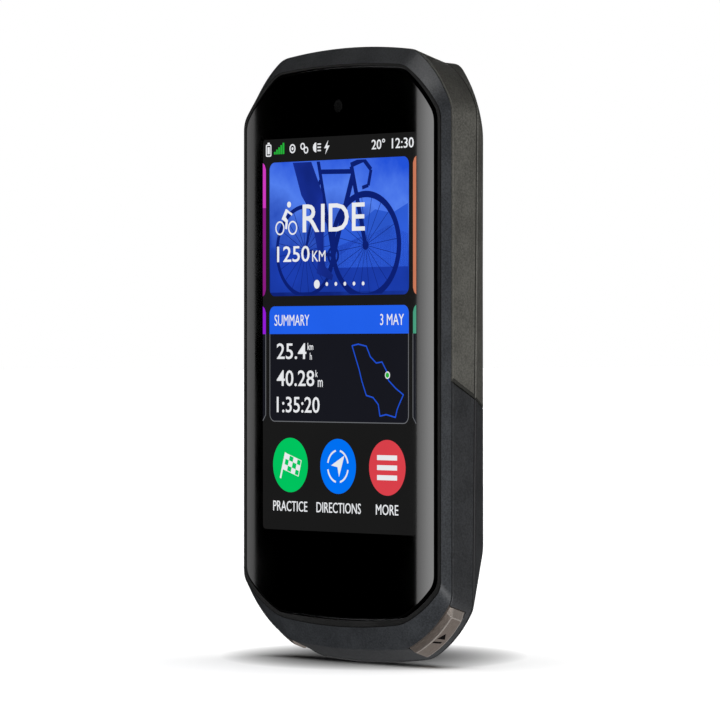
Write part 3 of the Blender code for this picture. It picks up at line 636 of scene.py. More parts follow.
def build_bezel():
    back = SEAM_DEPTH - GAP / 2
    rings = [
        ring(LIP, LIP_FRONT),
        ring(SEAM, back),
        ring(SEAM, back, 2.6),
        ring(SEAM, SHELF_BACK, 2.9),
        ring(GLASS, SHELF_BACK, 2.4, 1.6),
        ring(GLASS, SHELF_FRONT, 2.4, 1.6),
        ring(GLASS, SHELF_FRONT, -GAP),
        ring(GLASS, LIP_FRONT, -GAP),
    ]
    rings = rounded(rings, (0.16, 0.22, 0, 0, 0, 0, 0, 0.12), closed=True)
    frame_ring = drafted(loft, rings, closed=True)
    paint_shade_black(publish(frame_ring, "bezel", "bezel_plastic", "front_bezel"), on_lip)


def build_glass():
    rings = [
        ring(GLASS, GLASS_FACE, 1.2),
        ring(GLASS, GLASS_FACE, 0.3),
        ring(GLASS, 0.45),
        ring(GLASS, 1.2),
    ]
    pane = drafted(loft, rounded(rings, (0, 0, 0.15, 0)))
    glass = publish(pane, "glass", "black_glass", "cover_glass", sharp=25)
    # Painted shade: the glass's edges and rounded rim take the matte near black, with no
    # reflections.
    paint_shade_black(glass, lambda face: face.normal.y > -0.99)


# Keys


KeySpot = namedtuple("KeySpot", "edge start end front back middle crease left")
START_STOP = KeySpot(CORNER_CUT, 0.09, 0.965, 3.15, 7.2, 5.3, 8.9, False)
LAP = START_STOP._replace(left=True)
POWER_MIDDLE, POWER_HALF = 86.0, 6.5
SIDE_SPAN = SEAM.shoulder - SEAM.hip
POWER = KeySpot(
    SIDE,
    (SEAM.shoulder - POWER_MIDDLE - POWER_HALF) / SIDE_SPAN,
    (SEAM.shoulder - POWER_MIDDLE + POWER_HALF) / SIDE_SPAN,
    4.9,
    7.7,
    6.3,
    9.8,
    True,
)
KeyBuild = namedtuple("KeyBuild", "floor inner crest bevel stem_end stem boss_inner")
CORNER_BUILD = KeyBuild(-2.2, -1.7, 0.6, 0.95, -5.3, 0.8, -4.2)
POWER_BUILD = KeyBuild(-1.5, -1.0, 0.45, 0.7, -3.7, 0.8, -2.6)


def wall_point(spot, share, depth):
    """A point on the sharp-cornered outside of the shell, on the right-hand side."""
    shape = between(SEAM, CREASE, (depth - SEAM_DEPTH) / (spot.crease - SEAM_DEPTH))
    points = corners(shape)
    point, _ = bowed(points[spot.edge], points[spot.edge + 1], bulges(shape)[spot.edge], share)
    return Vector((point.x, depth, point.y))


def wall_normal(spot):
    share = (spot.middle - SEAM_DEPTH) / (spot.crease - SEAM_DEPTH)
    points = corners(between(SEAM, CREASE, share))
    out = outward(points[spot.edge], points[spot.edge + 1])
    return Vector((out.x, 0, out.y))


def wall_slope(spot):
    share = (spot.start + spot.end) / 2
    step = wall_point(spot, share, spot.middle + 1) - wall_point(spot, share, spot.middle)
    return step.dot(wall_normal(spot))


def key_frame(spot):
    """Local X along the edge, Y into the unit, Z outwards, at the middle of the key."""
    out = wall_normal(spot)
    depth = Vector((0, 1, 0))
    turn = Matrix((depth.cross(out), depth, out)).transposed().to_4x4()
    return Matrix.Translation(wall_point(spot, (spot.start + spot.end) / 2, spot.middle)) @ turn


def spread_shares(start, end, count):
    return [start + (end - start) * k / (count - 1) for k in range(count)]


def edge_length(spot):
    points = corners(SEAM)
    return (points[spot.edge + 1] - points[spot.edge]).length


def wall_ring(spot, share, profile):
    out = wall_normal(spot)
    return [wall_point(spot, share, depth) + out * height for depth, height in profile]


def along_wall(spot, shares, profile):
    """A draft that sweeps a profile of (depth, height above the wall) along the edge."""
    return drafted(loft, [wall_ring(spot, share, profile) for share in shares], mirror=spot.left)


def soft_profile(points, reaches, steps=3):
    """A closed profile of (depth, height) points with its corners rounded."""
    flat = [Vector(point) for point in points]
    result = []
    for i, (point, reach) in enumerate(zip(flat, reaches)):
        if not reach:
            result.append(point)
            continue
        first = towards(point, flat[i - 1], reach)
        last = towards(point, flat[(i + 1) % len(flat)], reach)
        for k in range(steps + 1):
            share = k / steps
            result.append(first.lerp(point, share).lerp(point.lerp(last, share), share))
    return [(point.x, point.y) for point in result]


def cap_rings(spot, build, lift=0.0):
    """The cap's rings along the edge: a bevelled upper end, a square lower end."""
    profile = soft_profile(
        [
            (spot.front, build.inner),
            (spot.front, -0.2 + lift),
            (spot.front + build.bevel, build.crest + lift),
            (spot.back - 0.35, build.crest - 0.05 + lift),
            (spot.back, build.crest - 0.4 + lift),
            (spot.back, build.inner),
        ],
        (0, 0.12, 0.16, 0.16, 0.12, 0),
    )

    def lowered(top):
        return [(depth, min(height, top)) for depth, height in profile]

    run = 1.5 / edge_length(spot)
    step = 0.14 / edge_length(spot)
    on_side = spot.edge == SIDE
    shares = spread_shares(spot.start + run, spot.end - (run if on_side else step), 14)
    low, foot = -0.15 + lift, build.crest - 0.16 + lift
    rings = [wall_ring(spot, spot.start, lowered(low))]
    rings += [wall_ring(spot, share, profile) for share in shares]
    rings.append(wall_ring(spot, spot.end, lowered(low if on_side else foot)))
    reaches = [0, 0.16, *[0] * 12, 0.16 if on_side else 0, 0]
    return rounded(rings, reaches, steps=3)


def cap_draft(spot, build, lift=0.0):
    return drafted(loft, cap_rings(spot, build, lift), mirror=spot.left)


def key_stem(spot, build):
    profile = [(build.stem, build.inner + 0.9), (build.stem, build.stem_end + 0.15)]
    profile.append((build.stem - 0.15, build.stem_end))
    return drafted(turned, profile, key_frame(spot), 24, mirror=spot.left)


def on_key(spot, points, low, high):
    """A prism over a polygon of (along, depth) points on the key's face."""
    place = key_frame(spot)
    rings = [[place @ Vector((x, y, height)) for x, y in points] for height in (low, high)]
    return drafted(loft, rings, mirror=spot.left)


CREST_WIDTH = 0.12  # a key's rounded crests are faces narrower than this; they get a painted highlight
MARK_LIFT = 0.018  # how far a printed mark stands out of the key
START_MARKS = (
    [(0.4, -0.85), (-1.4, 0.0), (0.25, 0.8)],
    [(1.35, -0.95), (1.95, -0.95), (1.65, 0.7), (1.05, 0.7)],
)
LAP_MARKS = (
    [(-1.3, -0.9), (-0.9, -0.9), (-0.9, 0.8), (-1.3, 0.8)],
    [(-0.2, -0.9), (0.2, -0.9), (0.2, 0.8), (-0.2, 0.8)],
    [(0.9, -0.9), (1.3, -0.9), (1.3, 0.8), (0.9, 0.8)],
)
POWER_MARKS = ([(-0.3, -0.8), (0.3, -0.8), (0.3, 0.8), (-0.3, 0.8)],)


def build_key(name, spot, build, marks):
    body = f"{name}_key"
    cap = join(cap_draft(spot, build), key_stem(spot, build))
    cap = publish(cap, f"{name}_cap", "key_metal", body, body=body, sharp=28)
    for finish in ("key_crest_highlight", "key_end_highlight"):
        cap.data.materials.append(LOOKS[finish])
    place = key_frame(spot)
    along, out = (Vector(place.col[k][:3]) for k in (0, 2))
    if spot.left:
        along.x, out.x = -along.x, -out.x
    # Painted highlights: narrow crest faces take the crest colour, and end facets the lighter end
    # colour.
    for face in cap.data.polygons:
        if face.normal.dot(out) < 0.7:
            continue
        ends = [cap.data.vertices[k].co for k in face.vertices]
        narrowest = min((p - q).length for p, q in zip(ends, ends[1:] + ends[:1]))
        if narrowest < CREST_WIDTH * MM:
            face.material_index = 1
        elif abs(face.normal.dot(along)) > 0.3:
            face.material_index = 2
    prisms = [on_key(spot, points, -0.4, 2.0) for points in marks]
    mark = join(*prisms) if len(prisms) > 1 else prisms[0]
    combine(mark, [cap_draft(spot, build, MARK_LIFT)], "INTERSECT")
    publish(mark, f"{name}_mark", "key_metal", body=body, material=LOOKS["mark_paint"])


def key_pocket(spot, build):
    """Drafts that cut the key's pocket, with a broken edge, and its stem hole."""
    slack = GAP / edge_length(spot)
    open_front = spot.edge == CORNER_CUT
    front = SEAM_DEPTH - 1 if open_front else spot.front - GAP
    flare = 0.0 if open_front else 0.18
    back = spot.back + GAP
    profile = [
        (front, build.floor),
        (front, -0.12),
        (front - flare, 0.1),
        (front - flare, 3.0),
        (back + 0.18, 3.0),
        (back + 0.18, 0.1),
        (back, -0.12),
        (back, build.floor),
    ]
    if open_front:
        profile[1:4] = [(front, 3.0)]
    shares = spread_shares(spot.start - slack, spot.end + slack, 16)
    hole = build.stem + GAP
    bore = [(hole, build.floor + 0.9), (hole, build.boss_inner - 0.5)]
    return [
        along_wall(spot, shares, profile),
        drafted(turned, bore, key_frame(spot), 24, mirror=spot.left),
    ]


def key_boss(spot, build, front, back, shares):
    """The thickening behind the pocket. Its inner face is square to the key's travel."""

    def inner(depth):
        return build.boss_inner - wall_slope(spot) * (depth - spot.middle)

    profile = [(front, -0.8), (back, -0.8), (back, inner(back)), (front, inner(front))]
    return along_wall(spot, shares, profile)


# Rear shell


FACET_FOOT = (crease_depth(0, 0), 0.0)
FACET_TOP = (BACK_DEPTH, BACK.keel)
PORT_FRONT, PORT_BACK = 7.3, 10.5
PORT_HALF = 4.5
PORT_MOUTH = 7.9
FLAP_START, FLAP_END, FLAP_HALF = 0.9, 8.1, 8.0
FLAP_THICK = 1.0
ANCHOR_END = 10.2
HINGE_ALONG = FLAP_END - 0.5
HINGE_DEEP = -0.5
CONTACT_HEIGHT = 42.5
CONTACT_X = (-5.4, -1.8, 1.8, 5.4)
LANYARD_X, LANYARD_Z = -17.8, 19.6
SPEAKER_X, SPEAKER_Z = 11.0, 86.5
VENT_X, VENT_Z = -13.0, 88.0
SCREW_SPOTS = [(-23.3, 96.5), (23.3, 96.5), (-23.3, 30.0), (23.3, 30.0)]
MOUNT_SCREW_CIRCLE = 8.2
BOSS_FRONT = 7.0
OUTSIDE = 15  # a depth beyond the back, where cutters end
LANYARD_DEPTH = 11.3
# A frame whose local Z is the depth and whose local Y is the height.
UPRIGHT = Matrix(((1, 0, 0, 0), (0, 0, 1, 0), (0, 1, 0, 0), (0, 0, 0, 1)))


def facet_frame():
    """Local X across the port's facet, Y up along it from the crease, Z out of it."""
    foot = Vector((0, *FACET_FOOT))
    along = (Vector((0, *FACET_TOP)) - foot).normalized()
    across = Vector((-1, 0, 0))
    turn = Matrix((across, along, across.cross(along))).transposed().to_4x4()
    return Matrix.Translation(foot) @ turn


GROOVE_DEEP = 0.2
GROOVE_RISE = 4.0  # height over which the groove starts from the bottom edge
SPLIT_GAP = 0.16  # the joint as it looks; the CAD model's gap is wider


def groove_ring(ahead):
    """A line this far ahead of the crease, down in the groove, which ends at the bottom edge."""

    def depth(x, z):
        return crease_depth(x, z) - ahead

    outside, inside = ring(CREASE, depth), ring(CREASE, depth, GROOVE_DEEP)
    return [p.lerp(q, min(max(p.z / GROOVE_RISE, 0), 1)) for p, q in zip(outside, inside)]


def shell_draft():
    """The whole rear shell, a cup, with soft creases."""
    front = SEAM_DEPTH + GAP / 2
    knee = ring(
        between(SEAM, CREASE, 0.5)._replace(keel=1.15),
        lambda x, z: (SEAM_DEPTH + crease_depth(x, z)) / 2,
    )
    crease, back = ring(CREASE, crease_depth), ring(BACK, BACK_DEPTH)
    rings = [
        ring(BACK, FLOOR_DEPTH, WALL + 0.4, 2.0),
        ring(CREASE, lambda x, z: crease_depth(x, z) - 0.5, WALL, 2.0),
        ring(SEAM, front, WALL, 2.0),
        ring(SEAM, front),
        knee,
        [towards(p, q, 0.55) for p, q in zip(crease, knee)],
        groove_ring(0.45),
        groove_ring(0.05),
        [towards(p, q, 0.25) for p, q in zip(crease, back)],
        back,
        ring(BACK, BACK_DEPTH, 3.0),
    ]
    return drafted(loft, rounded(rings, (0, 0, 0.1, 0.16, 1.2, 0, 0, 0.04, 0.12, 0.6, 0)))


def flared_hole(x, z, radius, seat, start, flare=0.2):
    """A screw hole along Y with a wider seat and a broken edge at the back face."""
    wide = radius + 1.0
    mouth = wide + flare + 0.05
    profile = [(radius, start), (radius, seat), (wide, seat), (wide, BACK_DEPTH - flare)]
    profile += [(mouth, BACK_DEPTH + 0.05), (mouth, OUTSIDE)]
    return drafted(turned, profile, into_depth(x, z), 40)


def stadium(x0, x1, z0, z1, radius, steps=6):
    """A rounded rectangle as (x, z) points, from the upper right corner."""
    radius = min(radius, (x1 - x0) / 2 - 1e-4, (z1 - z0) / 2 - 1e-4)
    left, right, foot, top = x0 + radius, x1 - radius, z0 + radius, z1 - radius
    points = []
    for quarter, (x, z) in enumerate(((right, top), (left, top), (left, foot), (right, foot))):
        for k in range(steps + 1):
            turn = math.pi / 2 * (quarter + k / steps)
            points.append((x + radius * math.cos(turn), z + radius * math.sin(turn)))
    return points


def tiers(x0, x1, y0, y1, radius, levels, place=UPRIGHT, swell=True):
    """A draft through rounded rectangles, given as (height along local Z, growth) levels."""
    rings = []
    for height, grow in levels:
        points = stadium(x0 - grow, x1 + grow, y0 - grow, y1 + grow, radius + grow * swell)
        rings.append([place @ Vector((x, y, height)) for x, y in points])
    return drafted(loft, rings)


def flared_slot(x, z, half_width, half_height, flare):
    """A box-shaped opening through the back, with a broken edge."""
    wide = flare + 0.05
    levels = ((FLOOR_DEPTH - 2, 0), (BACK_DEPTH - flare, 0), (BACK_DEPTH + 0.05, wide))
    box = (x - half_width, x + half_width, z - half_height, z + half_height)
    return tiers(*box, 0.4, (*levels, (OUTSIDE, wide)))


def lanyard_pocket(x, z):
    levels = ((9.9, -0.3), (10.3, 0), (BACK_DEPTH - 0.3, 0), (BACK_DEPTH + 0.05, 0.35))
    return tiers(x - 2.4, x + 2.4, z - 1.9, z + 1.9, 0.9, (*levels, (OUTSIDE, 0.35)))


def flap_recess():
    """The seat of the flap in the port's facet, with a broken edge."""
    half, low, high = FLAP_HALF + GAP, FLAP_START - GAP, ANCHOR_END + GAP
    levels = ((-FLAP_THICK - GAP, 0), (-0.15, 0), (0.06, 0.2), (3, 0.2))
    return tiers(-half, half, low, high, 0.6, levels, facet_frame())


def shell_additions():
    place = facet_frame()
    bosses = [drafted(add_box, (-10.3, 0.3, -3.0), (10.3, 10.9, -0.9), place)]
    x, z = LANYARD_X, LANYARD_Z
    bosses.append(drafted(add_box, (x - 4, 9.2, z - 2.9), (x + 4, FLOOR_DEPTH + 0.5, z + 3.1)))
    shares = spread_shares(0.02, 1.0, 10)
    for spot in (START_STOP, LAP):
        bosses.append(key_boss(spot, CORNER_BUILD, SEAM_DEPTH + GAP / 2 + 0.1, 8.2, shares))
    margin = 1.2 / edge_length(POWER)
    shares = spread_shares(POWER.start - margin, POWER.end + margin, 4)
    bosses.append(key_boss(POWER, POWER_BUILD, 3.4, 9.0, shares))
    return bosses


def shell_cuts():
    cutters = []
    for spot, build in ((START_STOP, CORNER_BUILD), (LAP, CORNER_BUILD), (POWER, POWER_BUILD)):
        cutters += key_pocket(spot, build)
    for x, z in SCREW_SPOTS:
        cutters.append(flared_hole(x, z, 1.1, BACK_DEPTH - 1.6, BOSS_FRONT - 1))
    for k in (-1, 0, 1):
        cutters.append(flared_slot(SPEAKER_X, SPEAKER_Z + 1.9 * k, 4, 0.45, 0.12))
    vent = [(0.5, FLOOR_DEPTH - 1), (0.5, BACK_DEPTH - 0.12), (0.66, BACK_DEPTH + 0.04)]
    vent.append((0.66, OUTSIDE))
    for k in (-1, 0, 1):
        cutters.append(drafted(turned, vent, into_depth(VENT_X + 1.9 * k, VENT_Z), 24))
    cutters.append(flared_slot(0, CONTACT_HEIGHT, 7.8, 2.1, 0.2))
    cutters.append(lanyard_pocket(LANYARD_X, LANYARD_Z))
    bar = along_x(LANYARD_X, LANYARD_DEPTH, LANYARD_Z)
    cutters.append(drafted(turned, [(0.95, -3.7), (0.95, 3.7)], bar, 24))
    cutters.append(flap_recess())
    low, high = (-5.6, PORT_FRONT - 0.1, -3), (5.6, PORT_BACK + 0.3, PORT_MOUTH + 0.5)
    cutters.append(drafted(add_box, low, high))
    low = (-PORT_HALF - 0.4, PORT_FRONT - 0.4, PORT_MOUTH - GAP)
    cutters.append(drafted(add_box, low, (PORT_HALF + 0.4, PORT_BACK + 0.4, 20)))
    return cutters


def split_block(upper):
    """A block that takes away everything below the two-tone joint, or everything above it."""
    lean = Matrix.Rotation(math.atan(SPLIT_LEAN), 4, "X")
    place = Matrix.Translation((0, SEAM_DEPTH, SPLIT_HEIGHT)) @ lean
    low, high = (-120, SPLIT_GAP / 2) if upper else (-SPLIT_GAP / 2, 120)
    return drafted(add_box, (-50, -40, low), (50, 60, high), place)


def split_edges(up, side_cut, bevel_cut, back_cut):
    """Cutters that chamfer a shell's outside edges along the two-tone joint.

    Each cut is a width and an angle, for the side facets, the rear bevels and the back.
    """
    back_slope = Vector((BACK_DEPTH - CREASE_MIDDLE, CREASE.half - BACK.half)).normalized()
    side_slope = Vector((CREASE_MIDDLE - SEAM_DEPTH, SEAM.half - CREASE.half)).normalized()
    facets = [((0, 1, 0), (0, BACK_DEPTH), back_cut)]
    for sign in (-1, 1):
        place = (sign * SEAM.half, SEAM_DEPTH)
        facets.append(((sign * side_slope.x, side_slope.y, 0), place, side_cut))
        place = (sign * BACK.half, BACK_DEPTH)
        facets.append(((sign * back_slope.x, back_slope.y, 0), place, bevel_cut))
    across = Vector((0, -SPLIT_LEAN, 1)).normalized() * (1 if up else -1)
    cutters = []
    for normal, (x, depth), (width, degrees) in facets:
        angle = math.radians(degrees)
        normal = Vector(normal)
        edge = across.cross(normal).normalized()
        away = normal.cross(edge).normalized()
        if away.dot(across) < 0:
            away.negate()
        joint = Vector((x, depth, SPLIT_HEIGHT + SPLIT_LEAN * (depth - SEAM_DEPTH)))
        face = (normal * math.cos(angle) - away * math.sin(angle)).normalized()
        turn = Matrix((edge, face.cross(edge), face)).transposed().to_4x4()
        start = joint + away * (SPLIT_GAP / 2 + width)
        place = Matrix.Translation(start) @ turn
        cutters.append(drafted(add_box, (-70, -70, 0), (70, 70, 30), place))
    return cutters


def shade_recesses(shell, finish, strip, groove_end):
    """Painted shade in the crease's groove, and a darker strip on the chamfer at the joint."""
    shell.data.materials.append(LOOKS[finish])
    lean = Vector((0, -SPLIT_LEAN, 1)).normalized()
    points = [vertex.co / MM - Vector((0, FRONT, BOTTOM)) for vertex in shell.data.vertices]
    grooved = [-0.5 < depth - crease_depth(x, z) < groove_end for x, depth, z in points]
    near = [
        abs(Vector((0, depth - SEAM_DEPTH, z - SPLIT_HEIGHT)).dot(lean)) < strip
        for x, depth, z in points
    ]
    for face in shell.data.polygons:
        if all(grooved[k] for k in face.vertices) or all(near[k] for k in face.vertices):
            face.material_index = 1


def build_shells():
    whole = shell_draft()
    join(whole, *shell_additions())
    cut(whole, *shell_cuts())
    other = linked(bpy.data.objects.new("draft", whole.data.copy()))
    # strip: how far the joint's darker strip reaches. groove_end: where the groove's painted shade
    # ends; on the lower shell it also covers the groove's rear wall, painting out its highlight.
    for side, shell, tone, chamfers, strip, groove_end in (
        ("upper", whole, "taupe", ((0.55, 20), (0.35, 16), (0.15, 30)), 0.72, -0.01),
        ("lower", other, "slate", ((0.2, 35), (0.1, 35), (0.1, 40)), 0.4, 0.3),
    ):
        upper = side == "upper"
        cut(shell, split_block(upper), *split_edges(upper, *chamfers))
        publish(shell, f"{side}_shell", f"{tone}_plastic", f"{side}_rear_shell", sharp=30)
        shade_recesses(shell, f"{tone}_shade", strip, groove_end)


# Screws, mount and small pieces of the back


def build_screw(name, x, z, tip, shoulder, top, shank=0.8, head=1.8):
    """A screw along Y, from its tip to the top of its head, with a six-lobed socket."""
    crown = [
        (shank - 0.25, tip),
        (shank, tip + 0.3),
        (shank, shoulder),
        (head - 0.08, shoulder),
        (head, shoulder + 0.1),
        (head, top - 0.3),
        (head - 0.12, top - 0.1),
        (head - 0.4, top),
    ]
    place = into_depth(x, z)
    screw = drafted(turned, crown, place, 40)
    lobes = []
    for k in range(24):
        turn = 2 * math.pi * k / 24
        radius = head * (0.42 + 0.09 * math.cos(6 * turn))
        lobes.append((radius * math.cos(turn), radius * math.sin(turn)))
    star = [[place @ Vector((a, b, top + rise)) for a, b in lobes] for rise in (-0.7, 0.5)]
    cut(screw, drafted(loft, star))
    publish(screw, f"{name}_head", "screw_steel", name, sharp=30)


def build_screws():
    for number, (x, z) in enumerate(SCREW_SPOTS, 1):
        build_screw(f"housing_screw_{number}", x, z, 4.6, 11.7, 12.8)
    for number, (x, z) in enumerate(mount_screw_spots(), 1):
        tip, shoulder, top = FLOOR_DEPTH + 0.2, DEPTH - 1.2, DEPTH - 0.2
        build_screw(f"mount_screw_{number}", x, z, tip, shoulder, top)


def mount_screw_spots():
    reach, turns = MOUNT_SCREW_CIRCLE, [math.radians(45 + 90 * k) for k in range(4)]
    return [(reach * math.cos(t), MOUNT_HEIGHT + reach * math.sin(t)) for t in turns]


def build_mount():
    place = into_depth(0, MOUNT_HEIGHT)
    soft = 0.18
    disc = [
        (11.0, BACK_DEPTH + GAP),
        (11.0, 14.7),
        (12.75 - soft, 14.6),
        (12.75, 14.6 + soft),
        (12.75, DEPTH - 0.35),
        (12.6, DEPTH - 0.12),
        (12.35, DEPTH),
    ]
    mount = drafted(turned, disc, place, 128)
    tabs = drafted(add_box, (-17, 14.6, MOUNT_HEIGHT - 5), (17, DEPTH, MOUNT_HEIGHT + 5))
    rim = [(15.1, 14.5), (15.1, 14.6), (15.3, 14.8), (15.3, DEPTH - 0.35)]
    rim += [(14.9, DEPTH), (14.9, DEPTH + 1)]
    combine(tabs, [drafted(turned, rim, place, 160)], "INTERSECT")
    join(mount, tabs)
    cutters = []
    for x, z in mount_screw_spots():
        profile = [(1.1, BACK_DEPTH - 1), (1.1, DEPTH - 1.5), (2.1, DEPTH - 1.5)]
        profile += [(2.1, DEPTH - 0.18), (2.35, DEPTH + 0.07), (2.35, DEPTH + 1)]
        cutters.append(drafted(turned, profile, into_depth(x, z), 40))
    top, floor = DEPTH + 0.2, DEPTH - 0.3
    groove = [(4.2, top), (5.0, top), (4.85, floor), (4.35, floor)]
    cutters.append(drafted(turned, groove, place, 96, closed=True))
    cut(mount, *cutters)
    publish(mount, "bayonet_mount", "mount_metal", "quarter_turn_mount", sharp=20)


def build_contacts():
    low = (-7.5, 11.0, CONTACT_HEIGHT - 1.8)
    carrier = drafted(add_box, low, (7.5, BACK_DEPTH - 0.2, CONTACT_HEIGHT + 1.8))
    bevelled(carrier, 0.25)
    well = [(1.2, 11.6), (1.2, BACK_DEPTH - 0.35), (1.4, BACK_DEPTH - 0.15), (1.4, OUTSIDE)]
    places = [into_depth(x, CONTACT_HEIGHT) for x in CONTACT_X]
    cut(carrier, *(drafted(turned, well, place, 32) for place in places))
    publish(carrier, "contact_block", "black_plastic", "contact_carrier")
    top = BACK_DEPTH - 0.1
    profile = [(0.9, 11.9), (0.9, top - 0.3), (0.78, top - 0.12), (0.5, top - 0.02), (0.15, top)]
    for number, x in enumerate(CONTACT_X, 1):
        pin = drafted(turned, profile, into_depth(x, CONTACT_HEIGHT), 32)
        node = f"battery_pack_contact_{number}"
        publish(pin, f"contact_pin_{number}", "gold_plate", node)


def build_lanyard_bar():
    profile = [(0.45, -3.4), (0.65, -3.2), (0.65, 3.2), (0.45, 3.4)]
    bar = drafted(turned, profile, along_x(LANYARD_X, LANYARD_DEPTH, LANYARD_Z), 32)
    publish(bar, "tether_bar", "screw_steel", "lanyard_bar")


def build_flap():
    place = facet_frame()
    rings = []
    for depth, shrink in ((-FLAP_THICK, 0.25), (-FLAP_THICK + 0.2, 0.03), (-0.2, 0.03), (0, 0.25)):
        half = FLAP_HALF - shrink
        points = stadium(-half, half, FLAP_START + shrink, HINGE_ALONG, 0.5, 5)
        rings.append([place @ Vector((x, y, depth)) for x, y in points])
    flap = drafted(loft, rings)
    hinge = place @ Matrix.Translation((0, HINGE_ALONG, HINGE_DEEP))
    end = FLAP_HALF - 0.03
    roll = [(0.4, -end), (0.5, -FLAP_HALF + 0.15), (0.5, FLAP_HALF - 0.15), (0.4, end)]
    rolled = drafted(turned, roll, hinge @ Matrix.Rotation(math.pi / 2, 4, "Y"), 32)
    levels = ((-1.8, -0.25), (-1.5, 0.0), (-0.5, 0.0))
    plug = tiers(-4.3, 4.3, 4.2, 6.0, 0.8, levels, place, swell=False)
    levels = ((-0.3, 0.0), (0.02, 0.0), (0.14, -0.1), (0.17, -0.2))
    ribs = []
    for k in range(3):
        y = 2.5 + 0.9 * k
        ribs.append(tiers(-3.4, 3.4, y - 0.22, y + 0.22, 0.3, levels, place, swell=False))
    join(flap, rolled, plug, *ribs)
    low, high = (-2.6, FLAP_START - 1, -0.45), (2.6, FLAP_START + 0.8, 0.5)
    cut(flap, drafted(add_box, low, high, place))
    publish(flap, "port_cover", "black_rubber", "usb_flap", body="port_flap", sharp=35)
    low = (-FLAP_HALF + 2, FLAP_END + GAP + 0.1, -FLAP_THICK + 0.2)
    anchor = bevelled(drafted(add_box, low, (FLAP_HALF - 2, ANCHOR_END, -0.1), place), 0.22)
    publish(anchor, "cover_anchor", "black_rubber", "flap_anchor")


def build_receptacle():
    """The charging socket: a shell around a tongue with contact pads on both sides."""
    middle, mouth = (PORT_FRONT + PORT_BACK) / 2, PORT_MOUTH
    top = mouth + 7.4
    wall, half_tongue = 0.35, 0.35
    levels = ((top, -0.2), (top - 0.2, 0), (mouth + 0.1, 0), (mouth, -0.1))
    levels += ((mouth, 0.08 - wall), (mouth + 0.15, -wall), (top - 0.8, -wall))
    box = (-PORT_HALF, PORT_HALF, PORT_FRONT, PORT_BACK)
    socket = tiers(*box, 1.5, levels, Matrix.Identity(4))
    publish(socket, "socket_shell", "shield_metal", "usb_receptacle")
    low, high = (-3.3, middle - half_tongue, mouth + 0.9), (3.3, middle + half_tongue, top - 0.5)
    tongue = bevelled(drafted(add_box, low, high), 0.12)
    publish(tongue, "socket_tongue", "black_plastic")
    bm = bmesh.new()
    for k in range(10):
        x = -2.7 + 0.6 * k
        for depth in (middle - half_tongue, middle + half_tongue):
            low = (x - 0.14, depth - 0.03, mouth + 1.3)
            add_box(bm, low, (x + 0.14, depth + 0.03, mouth + 5))
    publish(draft(bm), "socket_pads", "gold_plate")


# Screen


# How deep each layer of the screen lies, from the back to the front.
LEVELS = {
    "base": 0.10,
    "card": 0.075,
    "art": 0.05,
    "header": 0.045,
    "front_art": 0.04,
    "leg": 0.032,
    "ink": 0.02,
}
PLATE = 0.035
SCREEN_HALF, SCREEN_LOW, SCREEN_HIGH = 22.86, 25.15, 101.35
CARD_HALF = 20.75
CARD_RADIUS = 1.5
FIRST_CARD = 70.7, 96.8
SECOND_CARD = 46.2, 68.7
HEADER_LOW = 63.3
# Display levels of each ink and, where it isn't slight, how much its shade changes.
for ink, levels, *change in (
    ("backdrop", (27, 27, 27)),
    ("white", (238, 240, 243)),
    ("grey", (110, 112, 116)),
    ("green", (0, 200, 96)),
    ("leaf", (40, 180, 60)),
    ("blue", (0, 116, 250)),
    ("header", (34, 98, 240)),
    ("red", (222, 66, 76)),
    ("panel", (24, 25, 32)),
    ("deep", (13, 32, 116)),
    ("navy", (22, 44, 140), 0.35),
    ("haze", (46, 92, 214), 0.12),
    ("shade", (26, 58, 166), 0.2),
    ("route", (32, 82, 214)),
    ("magenta", (212, 60, 196)),
    ("salmon", (204, 122, 90)),
    ("plum", (140, 28, 132)),
    ("purple", (150, 30, 220)),
    ("teal", (72, 160, 128)),
):
    glowing(f"screen_{ink}", levels, *change)
picture_blue()
sheets = {}


def sheet(ink):
    if ink not in sheets:
        sheets[ink] = bmesh.new()
    return sheets[ink]


def plate(ink, points, level="ink"):
    """A thin lit plate over a polygon of (x, z) points."""
    top = LEVELS[level]
    depths = (top, top + PLATE)
    loft(sheet(ink), [[Vector((x, depth, z)) for x, z in points] for depth in depths])


def band(ink, outer, inner, level="ink"):
    """A thin lit plate between two polygons with equally many points."""
    top = LEVELS[level]
    levels = ((outer, top), (outer, top + PLATE), (inner, top + PLATE), (inner, top))
    rings = [[Vector((x, depth, z)) for x, z in points] for points, depth in levels]
    loft(sheet(ink), rings, closed=True)


def disc(ink, x, z, radius, level="ink", segments=40):
    plate(ink, arc(x, z, radius, 0, 360, segments)[:-1], level)


def arc(x, z, radius, start, end, steps=24):
    turns = [math.radians(start + (end - start) * k / steps) for k in range(steps + 1)]
    return [(x + radius * math.cos(turn), z + radius * math.sin(turn)) for turn in turns]


def hoop(ink, x, z, radius, width, level="ink", start=0, end=360, segments=48):
    outer = arc(x, z, radius + width / 2, start, end, segments)
    inner = arc(x, z, radius - width / 2, start, end, segments)
    if end - start == 360:
        band(ink, outer[:-1], inner[:-1], level)
    else:
        plate(ink, outer + inner[::-1], level)


def stroke_outline(start, end, width):
    a, b = Vector(start), Vector(end)
    side = (b - a).normalized().orthogonal() * (width / 2)
    return [tuple(p) for p in (a + side, b + side, b - side, a - side)]


def stroke(ink, start, end, width, level="ink"):
    """A straight line between two (x, z) points."""
    plate(ink, stroke_outline(start, end, width), level)


def lettering(text, bold=0.0):
    """A text's outline mesh."""
    curve = bpy.data.curves.new("lettering", "FONT")
    curve.body = text
    curve.size = 1.0
    curve.offset = bold
    curve.resolution_u = 3
    obj = linked(bpy.data.objects.new("lettering", curve))
    graph = bpy.context.evaluated_depsgraph_get()
    mesh = bpy.data.meshes.new_from_object(obj.evaluated_get(graph))
    bpy.data.objects.remove(obj)
    bpy.data.curves.remove(curve)
    return mesh


